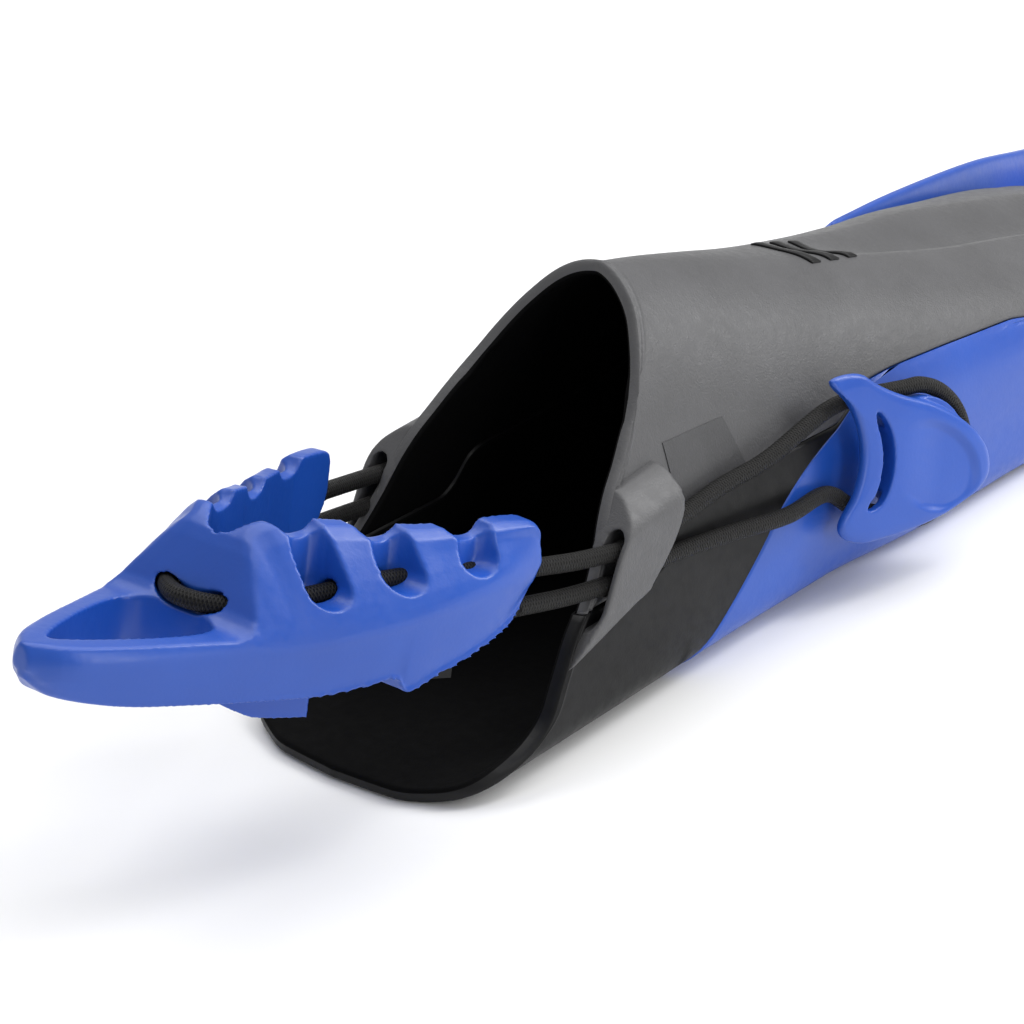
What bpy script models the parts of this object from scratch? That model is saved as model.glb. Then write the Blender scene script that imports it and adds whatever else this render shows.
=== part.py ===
"""Open-heel swim fin with a bungee heel strap.

+X is the fin's right side, +Y points to the blade tip, +Z is up, and the fin rests on Z = 0.
Sections are worked out in millimetres from the heel, and mesh_object turns them into metres
about the object's own origin, the bottom centre of its box.
"""

import math

import bmesh
import bpy
import numpy as np
from mathutils import Matrix, Vector

MM = 0.001
GAP = 0.3  # between touching pieces
SEAM_GAP = 0.8  # on each side of the seam line, which is followed by straight edges
Y_SHIFT = 262.5  # from the heel's rear edge to the origin

# The hull: half width, height of the widest line, crest and the two exponents of the upper curve.
HALF_WIDTH = (
    (-10, 49.2), (125, 49.8), (170, 51.8), (225, 54.4), (300, 57.5), (350, 62.5), (400, 69), (450, 76),
    (520, 86), (580, 95), (640, 102),
)
WAIST = (
    (-10, 18), (66, 18), (125, 20), (200, 26), (260, 30), (300, 34), (340, 33), (400, 28),
    (520, 15), (640, 6),
)
CREST = (
    (-10, 140), (66, 132.5), (100, 127), (125, 122), (146, 117.6), (178, 109.5), (200, 103.5), (250, 91),
    (300, 80), (340, 73), (380, 64), (440, 50), (480, 38), (520, 27), (570, 19), (640, 12),
)
SIDE_POWER = ((-10, 2.0), (125, 2.0), (200, 2.2), (250, 2.6), (300, 3.0), (440, 4.0), (640, 5))
CROWN_POWER = ((-10, 1.35), (125, 1.35), (200, 1.6), (250, 1.9), (300, 2.1), (640, 2.1))
VALLEY_DEPTH = ((215, 0), (260, 4), (320, 9), (420, 10), (500, 5), (540, 0.5), (640, 0))
RIDGE_X = ((215, 10), (260, 16), (340, 25), (440, 30), (640, 36))
SOLE_POWER = ((-10, 3.8), (180, 4.0), (250, 6.5), (640, 6.5))
SOLE_FLAT = 1.03  # the lower curve runs this much past the floor, which cuts it off flat

# The pocket opening: how far forward the rim lies at each direction round the section, in degrees.
RIM = (
    (-90, -5.2), (-41, -3.4), (-25, 2.6), (-18, 8.5), (-12.6, 16), (-7.6, 26), (-1, 35), (10, 42), (23, 51),
    (30, 58), (41, 67.5), (49, 73.5), (54, 79), (58, 85.5), (63, 94), (66, 100.5), (70, 106), (75, 112.5),
    (79, 117.3), (84, 121), (90, 124.5),
)
RIM_BEAD = 1.3
UPPER_WALL = 3.6
TONGUE_THINNING = 1.1
SOLE_WALL = 4.6
SOLE_END = 286.0
TONGUE_END = 492.0
TONGUE_NOSE = 20.0

# The line where the grey upper ends and the black sole or the blue rail begins.
SEAM = (
    (40, 43), (94, 43), (100, 46), (107, 55), (114, 57), (188, 57), (198, 61), (207, 65), (222, 65.5),
    (243, 64.6), (270, 62.8), (330, 59),
)
ARM_END = ((0, 101), (8, 112), (20, 128), (32, 144), (40, 154), (48, 168), (53, 180), (57.5, 194), (66, 212))
ARM_INLAY = 2.6
# direction of the arm's lower edge, just under the sole's corner
ARM_FOOT = ((100, -25.5), (125, -27.5), (200, -33), (250, -30.5), (290, -33), (640, -33))
RAIL_WALL = ((285, 2.6), (330, 6.5), (400, 7.5), (520, 7), (640, 5))
RAIL_TOP = ((285, 66), (337, 60.5), (380, 57), (430, 51), (480, 43.5), (530, 33), (590, 20), (640, 13))
RAIL_FOOT = ((285, 0), (600, 0), (640, 5))
RAIL_DRAFT = 4.0
RAIL_CLEAR = 3.2  # of the tongue's edge from the rail's leaning inner face
TIP = 640.0
PANEL_START = 474.0
PANEL_DROP = 4.4
PANEL_WALL = 2.6
TIP_DIP = 12.0

# Strap guide on each side of the pocket: rear edge and front edge as (y, z), and its share of the full bulge.
GUIDE_UPPER = (
    ((60.5, 43.3), (83, 43.3), 1.0), ((64.5, 51), (92, 51), 1.0), ((68.5, 58.5), (97.5, 58), 1.0),
    ((72, 63), (100, 63.5), 0.95), ((75, 66.5), (101, 67.8), 0.7), ((78, 70), (101.5, 71.5), 0.3),
    ((80.5, 73), (101.8, 74.5), 0.02),
)
GUIDE_LOWER = (
    ((60, 42.7), (83, 42.7), 0.97), ((54.5, 38), (74, 40), 0.8), ((50, 33.5), (64, 36), 0.45),
    ((46.5, 29.5), (55, 32), 0.05),
)
GUIDE_FACE_X = 51.6
GUIDE_SLOT_WIDTH = 6.2
GUIDE_SLOT = (38.5, 67.0)
SLOT_X = 47.1

# Anchor clip: its plane and its outline in that plane, from the middle of its rear edge.
CLIP_YAW = 15.0
CLIP_TILT = 11.0
CLIP_CENTER = (60.5, 190.0, 48.0)
CLIP_OUTLINE = (
    (-23, 23.5), (-18, 26.4), (-10.5, 27.2), (-3.5, 24.6), (7, 21.9), (23, 19.4), (38, 14.4), (48, 7.5),
    (51.5, 0), (50, -5.5), (44, -11), (34, -16.8), (21, -22), (8.5, -25.6), (-1.5, -27.6), (-9.3, -26),
    (-11.4, -21.5), (-7.4, -13.5), (-5.6, -5), (-6.2, 3.5), (-9.6, 11.5), (-15, 18),
)
CLIP_SLOT = ((-2.6, 15.5), (3.2, 7), (5.2, -2.7), (3.4, -12), (-1.2, -16.4))
CLIP_SLOT_WIDTH = 5.0
HUB = (21.5, 2.4)
HUB_RADIUS = 19.4
HUB_DEPTH = 6.6
POST_RADIUS = 5.0
POST_TOP = 1.3
POST_FOOT = 16.0
CORD_RADIUS = 2.75
CORD_GAP = 0.8  # between the lengths the cord is drawn in
LOOP_RADIUS = 22.6
LOOP_DEPTH = 5.0

# Heel strap frame: the guides' hinge line, the strap's tilt, and stations (distance behind the guides).
HINGE = (66.0, 53.0)
STRAP_TILT = 14.0
PULL_OUTER = (
    (29, 46.5), (45, 47.5), (70, 45), (95, 39), (120, 31.5), (145, 23), (165, 15.5), (176, 10), (183, 3),
)
PULL_WALL_X = ((29, 44), (50, 38.6), (67, 32), (90, 21.5), (104, 16.5), (110, 14.5), (117, 9), (124, 3))
PULL_TOP = (
    (30, 13), (31.5, 17), (35, 19.6), (40, 20.2), (67, 19.0), (90, 20.4), (108, 23.4), (112.5, 21.5),
    (117, 13), (122, 2), (127, -4), (183, -5.0),
)
PULL_RIDGE = ((30, 8), (45, 6), (70, 1), (95, -3.5), (120, -6.5), (183, -9.5))
PULL_FOOT = (
    (30, 7), (33, -2), (38, -10.5), (48, -16.5), (59, -20.5), (63, -22.5), (65, -19.5), (85, -22),
    (110, -23.5), (150, -23), (176, -19.5), (183, -14),
)
CUP_INNER = ((20, 40.6), (50, 35), (67, 28.4), (88, 18.5), (102, 12.6), (110, 8.6), (115, 4.5), (116.5, 0))
FINGER_LOOP = (
    (131.5, 0), (131.8, 9), (134.5, 15.2), (141, 15.6), (150, 12.4), (160, 8.2), (168, 4.4), (173, 1.2),
    (173.6, 0),
)
NOTCHES = ((102.0, 0.5), (79.0, 3.2), (54.5, 6.6))  # station and height of the round bottom
NOTCH_HALF = 6.6
WALL_DIP = 4.2  # how far each notch scallops the wall's top edge
SKIRT_FOOT = ((92, -36), (106, -35.5), (112, -33), (116.5, -30))
SKIRT_WALL = 3.6
PAD_CORD_UPPER = (
    (42.2, 27.6, 4.8), (39.5, 42, 5.6), (35.8, 56, 6.0), (29.2, 78, 4.6), (23.5, 98, 2.0), (17.5, 113, -0.6),
    (10, 122.6, -1.4), (0, 126.5, -1.4),
)
PAD_CORD_LOWER = (
    (42.6, 33.2, -6.2), (40, 48, -8), (35, 66, -10.5), (28.5, 84, -13), (20.5, 103, -14.5), (11, 119, -15),
    (0, 124.4, -15),
)
LINER_DEPTH = 1.8
MARK_ROWS = (223.0, 234.0, 245.0)


def profile(points, at):
    """Smooth curve through hand-chosen points, without overshoot, held level past its ends."""
    x = np.array([p[0] for p in points], float)
    y = np.array([p[1] for p in points], float)
    at = np.clip(np.asarray(at, float), x[0], x[-1])
    step = np.diff(x)
    rise = np.diff(y) / step
    slope = np.zeros_like(y)
    same = rise[:-1] * rise[1:] > 0
    w1 = 2 * step[1:] + step[:-1]
    w2 = step[1:] + 2 * step[:-1]
    safe = np.where(same, rise[:-1], 1.0), np.where(same, rise[1:], 1.0)
    slope[1:-1] = np.where(same, (w1 + w2) / (w1 / safe[0] + w2 / safe[1]), 0.0)
    slope[0] = rise[0]
    slope[-1] = rise[-1]
    k = np.clip(np.searchsorted(x, at, side="right") - 1, 0, len(x) - 2)
    t = (at - x[k]) / step[k]
    h00 = 2 * t**3 - 3 * t**2 + 1
    h10 = t**3 - 2 * t**2 + t
    h01 = -2 * t**3 + 3 * t**2
    h11 = t**3 - t**2
    return h00 * y[k] + h10 * step[k] * slope[k] + h01 * y[k + 1] + h11 * step[k] * slope[k + 1]


def smoothstep(low, high, at):
    t = np.clip((np.asarray(at, float) - low) / (high - low), 0, 1)
    return t * t * (3 - 2 * t)


def hull_height(x, y):
    """Height of the hull's upper surface over (x, y)."""
    half, waist = profile(HALF_WIDTH, y), profile(WAIST, y)
    rise = profile(CREST, y) - waist
    share = np.clip(np.abs(x) / half, 0, 1)
    z = waist + rise * (1 - share ** profile(SIDE_POWER, y)) ** (1 / profile(CROWN_POWER, y))
    across = np.clip(np.abs(x) / profile(RIDGE_X, y), 0, 1)
    return z - profile(VALLEY_DEPTH, y) * (1 - across**2) ** 2


def hull(direction, y):
    """Hull point (x, z) on the right side, at a direction in degrees from the widest line."""
    direction, y = np.broadcast_arrays(np.asarray(direction, float), np.asarray(y, float))
    half, waist = profile(HALF_WIDTH, y), profile(WAIST, y)
    rise = profile(CREST, y) - waist
    c, s = np.cos(np.radians(direction)), np.sin(np.radians(direction))
    c = np.maximum(c, 0)
    upper = s >= 0
    sole_power = profile(SOLE_POWER, y)
    px = np.where(upper, profile(SIDE_POWER, y), sole_power)
    pz = np.where(upper, profile(CROWN_POWER, y), sole_power)
    tall = np.where(upper, rise, waist * SOLE_FLAT)
    low, high = np.zeros_like(c), np.full_like(c, 250.0)
    for _ in range(30):
        r = (low + high) / 2
        outside = (r * c / half) ** px + (r * np.abs(s) / tall) ** pz > 1
        high = np.where(outside, r, high)
        low = np.where(outside, low, r)
    x, z = r * c, waist + r * s
    across = np.clip(x / profile(RIDGE_X, y), 0, 1)
    z = z - np.where(upper, profile(VALLEY_DEPTH, y) * (1 - across**2) ** 2, 0)
    return x, np.maximum(z, 0)


def direction_at(y, height=None, x=None):
    """Direction in which the hull's side, outside the ridges, reaches a height or an x."""
    y = np.asarray(y, float)
    half, waist = profile(HALF_WIDTH, y), profile(WAIST, y)
    rise = profile(CREST, y) - waist
    px, pz = profile(SIDE_POWER, y), profile(CROWN_POWER, y)
    if x is None:
        above = np.clip((height - waist) / rise, 0, 1)
        below = np.clip((waist - height) / (waist * SOLE_FLAT), 0, 1)
        side_up = half * (1 - above**pz) ** (1 / px)
        side_down = half * (1 - below ** profile(SOLE_POWER, y)) ** (1 / profile(SOLE_POWER, y))
        x = np.where(height >= waist, side_up, side_down)
        z = height
    else:
        z = waist + rise * (1 - np.clip(x / half, 0, 1) ** px) ** (1 / pz)
    return np.degrees(np.arctan2(z - waist, x))


def seam_direction(y):
    """Direction of the upper's lower edge: a height beside the pocket, the rail's inner face beyond it."""
    beside = direction_at(y, height=profile(SEAM, y))
    clear = RAIL_CLEAR * smoothstep(330, 470, y)
    inside = direction_at(y, x=profile(HALF_WIDTH, y) - profile(RAIL_WALL, y) - clear)
    share = smoothstep(290, 325, y)
    return beside * (1 - share) + inside * share


def surface_normals(points, center_z):
    """Unit normals of a grid of points, facing away from the hull's middle line."""
    along = np.gradient(points, axis=0)
    across = np.gradient(points, axis=1)
    n = np.cross(along, across)
    n /= np.maximum(np.linalg.norm(n, axis=2, keepdims=True), 1e-9)
    out = points * np.array([1.0, 0.0, 1.0])
    out[:, :, 2] -= center_z
    flip = np.sign(np.sum(n * out, axis=2, keepdims=True))
    return n * np.where(flip == 0, 1, flip)


def mesh_object(name, vertices, faces, collection, material=None):
    """Object from points in millimetres from the heel."""
    shifted = (np.asarray(vertices, float) - [0, Y_SHIFT, 0]) * MM
    mesh = bpy.data.meshes.new(name)
    mesh.from_pydata([tuple(v) for v in shifted], [], faces)
    bm = bmesh.new()
    bm.from_mesh(mesh)
    bmesh.ops.remove_doubles(bm, verts=bm.verts, dist=0.00001)
    bmesh.ops.dissolve_degenerate(bm, edges=bm.edges, dist=0.00001)
    bmesh.ops.recalc_face_normals(bm, faces=bm.faces)
    bmesh.ops.triangulate(bm, faces=bm.faces, ngon_method="EAR_CLIP")
    bm.to_mesh(mesh)
    bm.free()
    obj = bpy.data.objects.new(name, mesh)
    collection.objects.link(obj)
    if material:
        mesh.materials.append(material)
    return obj


def between_sheets(name, outer, inner, collection, material=None):
    """Closed body between two grids of points with the same rows and columns."""
    rows, cols = outer.shape[:2]
    vertices = np.vstack([outer.reshape(-1, 3), inner.reshape(-1, 3)])
    base = rows * cols

    def at(i, j, sheet):
        return sheet * base + i * cols + j

    faces = []
    for i in range(rows - 1):
        for j in range(cols - 1):
            faces.append((at(i, j, 0), at(i + 1, j, 0), at(i + 1, j + 1, 0), at(i, j + 1, 0)))
            faces.append((at(i, j, 1), at(i, j + 1, 1), at(i + 1, j + 1, 1), at(i + 1, j, 1)))
    for i in range(rows - 1):
        for j in (0, cols - 1):
            faces.append((at(i, j, 0), at(i, j, 1), at(i + 1, j, 1), at(i + 1, j, 0)))
    for j in range(cols - 1):
        for i in (0, rows - 1):
            faces.append((at(i, j, 0), at(i, j + 1, 0), at(i, j + 1, 1), at(i, j, 1)))
    return mesh_object(name, vertices, faces, collection, material)


def stacked_rings(name, rings, collection, material=None):
    """Closed body through rings with the same number of points, capped at both ends."""
    rings = np.asarray(rings, float)
    count, size = rings.shape[:2]
    faces = [tuple(range(size)), tuple(range((count - 1) * size, count * size))]
    for i in range(count - 1):
        for j in range(size):
            k = (j + 1) % size
            faces.append((i * size + j, i * size + k, (i + 1) * size + k, (i + 1) * size + j))
    return mesh_object(name, rings.reshape(-1, 3), faces, collection, material)


def smooth_path(points, spacing):
    """Evenly spaced points on a smooth curve through hand-chosen ones."""
    pts = np.asarray(points, float)
    ext = np.vstack([2 * pts[0] - pts[1], pts, 2 * pts[-1] - pts[-2]])
    fine = []
    for i in range(len(pts) - 1):
        p0, p1, p2, p3 = ext[i : i + 4]
        for t in np.linspace(0, 1, 24, endpoint=False):
            a = 2 * p1 + (p2 - p0) * t
            b = (2 * p0 - 5 * p1 + 4 * p2 - p3) * t**2
            c = (3 * p1 - p0 - 3 * p2 + p3) * t**3
            fine.append((a + b + c) / 2)
    fine.append(pts[-1])
    fine = np.array(fine)
    run = np.concatenate([[0], np.cumsum(np.linalg.norm(np.diff(fine, axis=0), axis=1))])
    stops = np.linspace(0, run[-1], max(2, int(round(run[-1] / spacing)) + 1))
    return np.stack([np.interp(stops, run, fine[:, k]) for k in range(3)], axis=1)


def tube(name, points, radius, collection, material=None, resolution=2):
    """Round cord or tunnel along points, as a closed mesh."""
    curve = bpy.data.curves.new(name, "CURVE")
    curve.dimensions = "3D"
    curve.bevel_depth = radius * MM
    curve.bevel_resolution = resolution
    curve.use_fill_caps = True
    spline = curve.splines.new("POLY")
    spline.points.add(len(points) - 1)
    for p, co in zip(spline.points, (np.asarray(points) - [0, Y_SHIFT, 0]) * MM):
        p.co = (co[0], co[1], co[2], 1)
    obj = bpy.data.objects.new(name, curve)
    collection.objects.link(obj)
    bpy.context.view_layer.update()
    mesh = bpy.data.meshes.new_from_object(obj.evaluated_get(bpy.context.evaluated_depsgraph_get()))
    bm = bmesh.new()
    bm.from_mesh(mesh)
    bmesh.ops.remove_doubles(bm, verts=bm.verts, dist=0.00001)
    bmesh.ops.recalc_face_normals(bm, faces=bm.faces)
    bm.to_mesh(mesh)
    bm.free()
    mesh.materials.clear()
    solid = bpy.data.objects.new(name, mesh)
    solid.matrix_world = obj.matrix_world
    bpy.data.objects.remove(obj)
    solid.name = name
    collection.objects.link(solid)
    if material:
        mesh.materials.append(material)
    return solid


def combine(target, tool, operation):
    """Boolean of two objects, applied; the tool is removed."""
    mod = target.modifiers.new("cut", "BOOLEAN")
    mod.operation = operation
    mod.solver = "EXACT"
    mod.object = tool
    bpy.context.view_layer.update()
    graph = bpy.context.evaluated_depsgraph_get()
    mesh = bpy.data.meshes.new_from_object(target.evaluated_get(graph))
    target.modifiers.clear()
    target.data = mesh
    bpy.data.objects.remove(tool)
    return target


def put_origin(obj, point):
    """Move an object's origin to a point in millimetres from the heel, leaving its shape in place."""
    place = Vector((np.asarray(point, float) - [0, Y_SHIFT, 0]) * MM)
    obj.data.transform(Matrix.Translation(-place))
    obj.location = place


def mirrored(points):
    return np.asarray(points) * np.array([-1.0, 1.0, 1.0])


def satin(name, color, roughness, sheen=0.0):
    material = bpy.data.materials.new(name)
    material.use_nodes = True
    shader = material.node_tree.nodes["Principled BSDF"]
    shader.inputs["Base Color"].default_value = (*color, 1)
    shader.inputs["Roughness"].default_value = roughness
    shader.inputs["Sheen Weight"].default_value = sheen
    return material


# --- foot pocket -------------------------------------------------------------------------------


def rim_bead(distance):
    """Raised lip round the opening, by distance from its edge."""
    return RIM_BEAD * (1 - smoothstep(2.2, 5.0, distance))


def pocket_rows(count):
    """Shares of the length from the rim, close together at the lip."""
    first = np.array([0.0, 0.0055, 0.011, 0.02])
    rest = np.linspace(0.02, 1, count - 3)[1:]
    return np.concatenate([first, rest])


def upper_sheets(cols, rows):
    """Outer and inner sheet of the grey upper, right edge over the crest to the left edge."""
    share = np.linspace(0, 1, cols)
    low_gap = np.degrees(SEAM_GAP / 50)
    grid = np.zeros((rows, 2 * cols - 1, 3))
    for j, u in enumerate(share):
        y_rim = 80.0
        for _ in range(60):
            edge = seam_direction(np.array([y_rim]))[0] + low_gap
            angle = edge + (90 - edge) * u
            y_rim = 0.5 * y_rim + 0.5 * profile(RIM, angle)
        end = TONGUE_END + TONGUE_NOSE * u
        y = y_rim + (end - y_rim) * pocket_rows(rows)
        edge = seam_direction(y) + low_gap
        angle = edge + (90 - edge) * u
        x, z = hull(angle, y)
        grid[:, cols - 1 + (cols - 1 - j), :] = np.stack([x, y, z], 1)
        grid[:, j, :] = np.stack([-x, y, z], 1)
    center_z = profile(WAIST, grid[:, :, 1])
    normal = surface_normals(grid, center_z)
    distance = grid[:, :, 1] - grid[:1, :, 1]
    outer = grid + normal * rim_bead(distance)[:, :, None]
    wall = UPPER_WALL - TONGUE_THINNING * smoothstep(430, 476, grid[:, :, 1])
    inner = grid - normal * wall[:, :, None]
    return outer, inner


def skin_x(y, z):
    """Half width of the hull at one height."""
    y = np.array([float(y)])
    return float(hull(direction_at(y, height=float(z)), y)[0][0])


def guide_block(levels, side, collection):
    """Part of the strap guide: a flared block on the pocket's side, later cut by its slot."""
    face, back = [], []
    for share in (0.0, 0.33, 0.67, 1.0):
        face_row, back_row = [], []
        for rear, front, bulge in levels:
            y = rear[0] + (front[0] - rear[0]) * share
            z = rear[1] + (front[1] - rear[1]) * share
            skin = skin_x(y, z)
            face_row.append((side * (skin + (GUIDE_FACE_X - skin) * bulge + 0.2), y, z))
            back_row.append((side * (skin - 1.6), y, z))
        face.append(face_row)
        back.append(back_row)
    return between_sheets("guide", np.array(face), np.array(back), collection)


def guide_slot(side, collection):
    """Upright slot with round ends through the guide."""
    half = GUIDE_SLOT_WIDTH / 2
    low, high = GUIDE_SLOT
    outline = []
    for start, middle in ((0, high - half), (math.pi, low + half)):
        for k in range(6):
            a = start + math.pi * k / 5
            outline.append((half * math.cos(a), middle + half * math.sin(a)))
    rings = [[(side * (SLOT_X + x), y + (z - HINGE[1]) * 0.4, z) for x, z in outline] for y in (36.0, 116.0)]
    return stacked_rings("slot", rings, collection)


def make_upper(collection, cutters, material):
    outer, inner = upper_sheets(12, 25)
    upper = between_sheets("foot_pocket_upper", outer, inner, collection)
    for side in (1, -1):
        combine(upper, guide_block(GUIDE_UPPER, side, cutters), "UNION")
        combine(upper, guide_slot(side, cutters), "DIFFERENCE")
    upper.data.materials.clear()
    upper.data.materials.append(material)
    return upper


def sole_sheets(cols, rows):
    """Outer and inner sheet of the black sole, left edge under the foot to the right edge."""
    grid = np.zeros((rows, 2 * cols - 1, 3))
    low_gap = np.degrees(SEAM_GAP / 50)
    for j, u in enumerate(np.linspace(0, 1, cols) ** 0.8):
        y_rim = 60.0
        for _ in range(60):
            edge = seam_direction(np.array([y_rim]))[0] - low_gap
            angle = -90 + (edge + 90) * u
            y_rim = 0.5 * y_rim + 0.5 * profile(RIM, angle)
        y = y_rim + (SOLE_END - y_rim) * pocket_rows(rows)
        edge = seam_direction(y) - low_gap
        angle = -90 + (edge + 90) * u
        x, z = hull(angle, y)
        grid[:, cols - 1 + j, :] = np.stack([x, y, z], 1)
        grid[:, cols - 1 - j, :] = np.stack([-x, y, z], 1)
    center_z = profile(WAIST, grid[:, :, 1])
    normal = surface_normals(grid, center_z)
    distance = grid[:, :, 1] - grid[:1, :, 1]
    lip = rim_bead(distance) * smoothstep(3, 12, grid[:, :, 2])
    outer = grid + normal * lip[:, :, None]
    inner = grid - normal * SOLE_WALL
    return outer, inner


def tread_groove(y, collection):
    """Shallow groove across the sole."""
    bpy.ops.mesh.primitive_cube_add(size=1, location=(0, (y - Y_SHIFT) * MM, 0))
    groove = bpy.context.object
    groove.scale = (46 * MM, 3 * MM, 2.4 * MM)
    for c in list(groove.users_collection):
        c.objects.unlink(groove)
    collection.objects.link(groove)
    return groove


def make_sole(collection, cutters, material):
    outer, inner = sole_sheets(13, 17)
    sole = between_sheets("foot_pocket_sole", outer, inner, collection)
    for side in (1, -1):
        combine(sole, arm_pocket(side, cutters), "DIFFERENCE")
        combine(sole, guide_block(GUIDE_LOWER, side, cutters), "UNION")
        combine(sole, guide_slot(side, cutters), "DIFFERENCE")
    for k in range(9):
        combine(sole, tread_groove(22 + 13 * k, cutters), "DIFFERENCE")
    sole.data.materials.clear()
    sole.data.materials.append(material)
    return sole


# --- blade -------------------------------------------------------------------------------------


def rail_sheets(cols, rows, clearance=0.0):
    """Outer and inner sheet of the right rail, from its slanted rear end to the tip."""
    outer = np.zeros((rows, cols, 3))
    inner = np.zeros((rows, cols, 3))
    length_share = np.linspace(0, 1, rows)
    patch = np.zeros((rows, cols, 3))
    for j, u in enumerate(np.linspace(0, 1, cols)):
        y_end = 130.0
        for _ in range(60):
            top = direction_at(np.array([y_end]), height=profile(SEAM, y_end) - SEAM_GAP + clearance)[0]
            foot = profile(ARM_FOOT, y_end) - np.degrees(clearance / 40)
            angle = foot + (top - foot) * u
            height = hull(np.array([angle]), np.array([y_end]))[1][0]
            y_end = 0.5 * y_end + 0.5 * (profile(ARM_END, height) - 1.3 * clearance)
        y = y_end + (TIP - y_end) * length_share
        top = seam_direction(y) - np.degrees(SEAM_GAP / 50) + np.degrees(clearance / 50)
        past = smoothstep(335, 360, y)
        top = top + past * np.degrees(3.0 / 60)
        foot = profile(ARM_FOOT, y) - np.degrees(clearance / 40)
        angle = foot + (top - foot) * u
        x, z = hull(angle, y)
        patch[:, j, :] = np.stack([x, y, z], 1)
    normal = surface_normals(patch, profile(WAIST, patch[:, :, 1]))
    wall = ARM_INLAY + clearance
    deep = patch - normal * wall
    y = patch[:, :, 1]
    u = np.broadcast_to(np.linspace(0, 1, cols), (rows, cols))
    thick = profile(RAIL_WALL, y)
    foot, top = profile(RAIL_FOOT, y), profile(RAIL_TOP, y)
    z_bar = foot + (top - foot) * (0.5 - 0.5 * np.cos(np.pi * u))
    lean = RAIL_DRAFT * (1 - (z_bar - foot) / (top - foot))
    middle = profile(HALF_WIDTH, y) - thick / 2 - lean
    bulge = (thick / 2) * np.clip(np.sin(np.pi * u), 0.12, 1) ** 0.5
    bar_out = np.stack([middle + bulge, y, z_bar], 2)
    bar_in = np.stack([middle - bulge, y, z_bar], 2)
    share = smoothstep(306, 350, y)[:, :, None] * (0 if clearance else 1)
    outer = patch * (1 - share) + bar_out * share
    inner = deep * (1 - share) + bar_in * share
    if clearance:
        outer = outer + normal * 4.0
    return outer, inner


def arm_pocket(side, collection):
    """Cutter that lets the rail's rear arm into the pocket's side, with the usual gap."""
    outer, inner = rail_sheets(9, 28, clearance=GAP)
    keep = outer[:, :, 1].min(axis=1) < SOLE_END + 24
    outer, inner = outer[keep], inner[keep]
    if side < 0:
        outer, inner = mirrored(outer), mirrored(inner)
    return between_sheets("arm", outer, inner, collection)


def panel_sheets(cols, rows):
    """Blade panel between the rails, crowned like the hull, with a dipped tip edge."""
    u = np.linspace(-1, 1, cols)
    grid = np.zeros((rows, cols, 3))
    for i, t in enumerate(np.linspace(0, 1, rows)):
        end = TIP - 1.5 - TIP_DIP * (1 - u**2)
        y = PANEL_START + (end - PANEL_START) * t
        x = u * (profile(HALF_WIDTH, y) - 4.6)
        grid[i] = np.stack([x, y, hull_height(x, y) - PANEL_DROP], 1)
    lower = grid - np.array([0, 0, PANEL_WALL])
    return grid, lower


def channel_outline(center, width, start, end, grow=0.0):
    """Plan of a blade channel: round ends, wider toward the tip."""
    points = []
    for k in range(9):
        a = math.pi * k / 8
        points.append((width[1] * math.cos(a), end + width[1] * math.sin(a) * 0.8, 1))
    for k in range(9):
        a = math.pi + math.pi * k / 8
        points.append((width[0] * math.cos(a), start + width[0] * math.sin(a) * 0.8, 0))
    outline = []
    for x, y, at_tip in points:
        size = width[at_tip]
        out = 1 + grow / size
        mid = end if at_tip else start
        outline.append((center * profile(HALF_WIDTH, y) + x * out, mid + (y - mid) * out))
    return outline


CHANNELS = (
    ("blade_channel_center", 0.0, (9, 13), 532, 604),
    ("blade_channel_right", 0.54, (7, 10), 524, 606),
    ("blade_channel_left", -0.54, (7, 10), 524, 606),
)


def channel_cutter(channel, collection):
    name, center, width, start, end = channel
    outline = channel_outline(center, width, start, end, GAP)
    rings = [[(x, y, z) for x, y in outline] for z in (-5.0, 60.0)]
    return stacked_rings("channel_cut", rings, collection)


def make_channel(channel, collection, material):
    """Rubber strip in the panel, sagging between its edges."""
    name, center, width, start, end = channel
    cols, rows = 7, 9
    grid = np.zeros((rows, cols, 3))
    for i, t in enumerate(np.linspace(0, 1, rows)):
        half = width[0] + (width[1] - width[0]) * t
        length = end + 0.8 * width[1] - (start - 0.8 * width[0])
        for j, u in enumerate(np.linspace(-1, 1, cols)):
            y0 = start - 0.8 * width[0] * math.sqrt(1 - u * u)
            y1 = end + 0.8 * width[1] * math.sqrt(1 - u * u)
            y = y0 + (y1 - y0) * t
            reach = width[0] + (width[1] - width[0]) * np.clip((y - start) / (end - start), 0, 1)
            x = center * profile(HALF_WIDTH, y) + reach * u
            sag = 2.6 * (1 - u * u) * math.sin(math.pi * min(max((y - start + 4) / length, 0.0), 1.0)) ** 0.5
            grid[i, j] = (x, y, hull_height(x, y) - PANEL_DROP - 0.2 - sag)
    lower = grid - np.array([0, 0, 2.2])
    return between_sheets(name, grid, lower, collection, material)


def make_frame(collection, cutters, material):
    outer, inner = rail_sheets(9, 28)
    frame = between_sheets("blade_frame", outer, inner, collection)
    left = between_sheets("rail_left", mirrored(outer), mirrored(inner), cutters)
    upper, lower = panel_sheets(17, 10)
    panel = between_sheets("panel", upper, lower, cutters)
    for channel in CHANNELS:
        combine(panel, channel_cutter(channel, cutters), "DIFFERENCE")
    combine(frame, panel, "UNION")
    combine(frame, left, "UNION")
    for side in (1, -1):
        combine(frame, anchor_post(side, cutters), "UNION")
    frame.data.materials.clear()
    frame.data.materials.append(material)
    return frame


# --- anchor clips and cord ---------------------------------------------------------------------


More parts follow.
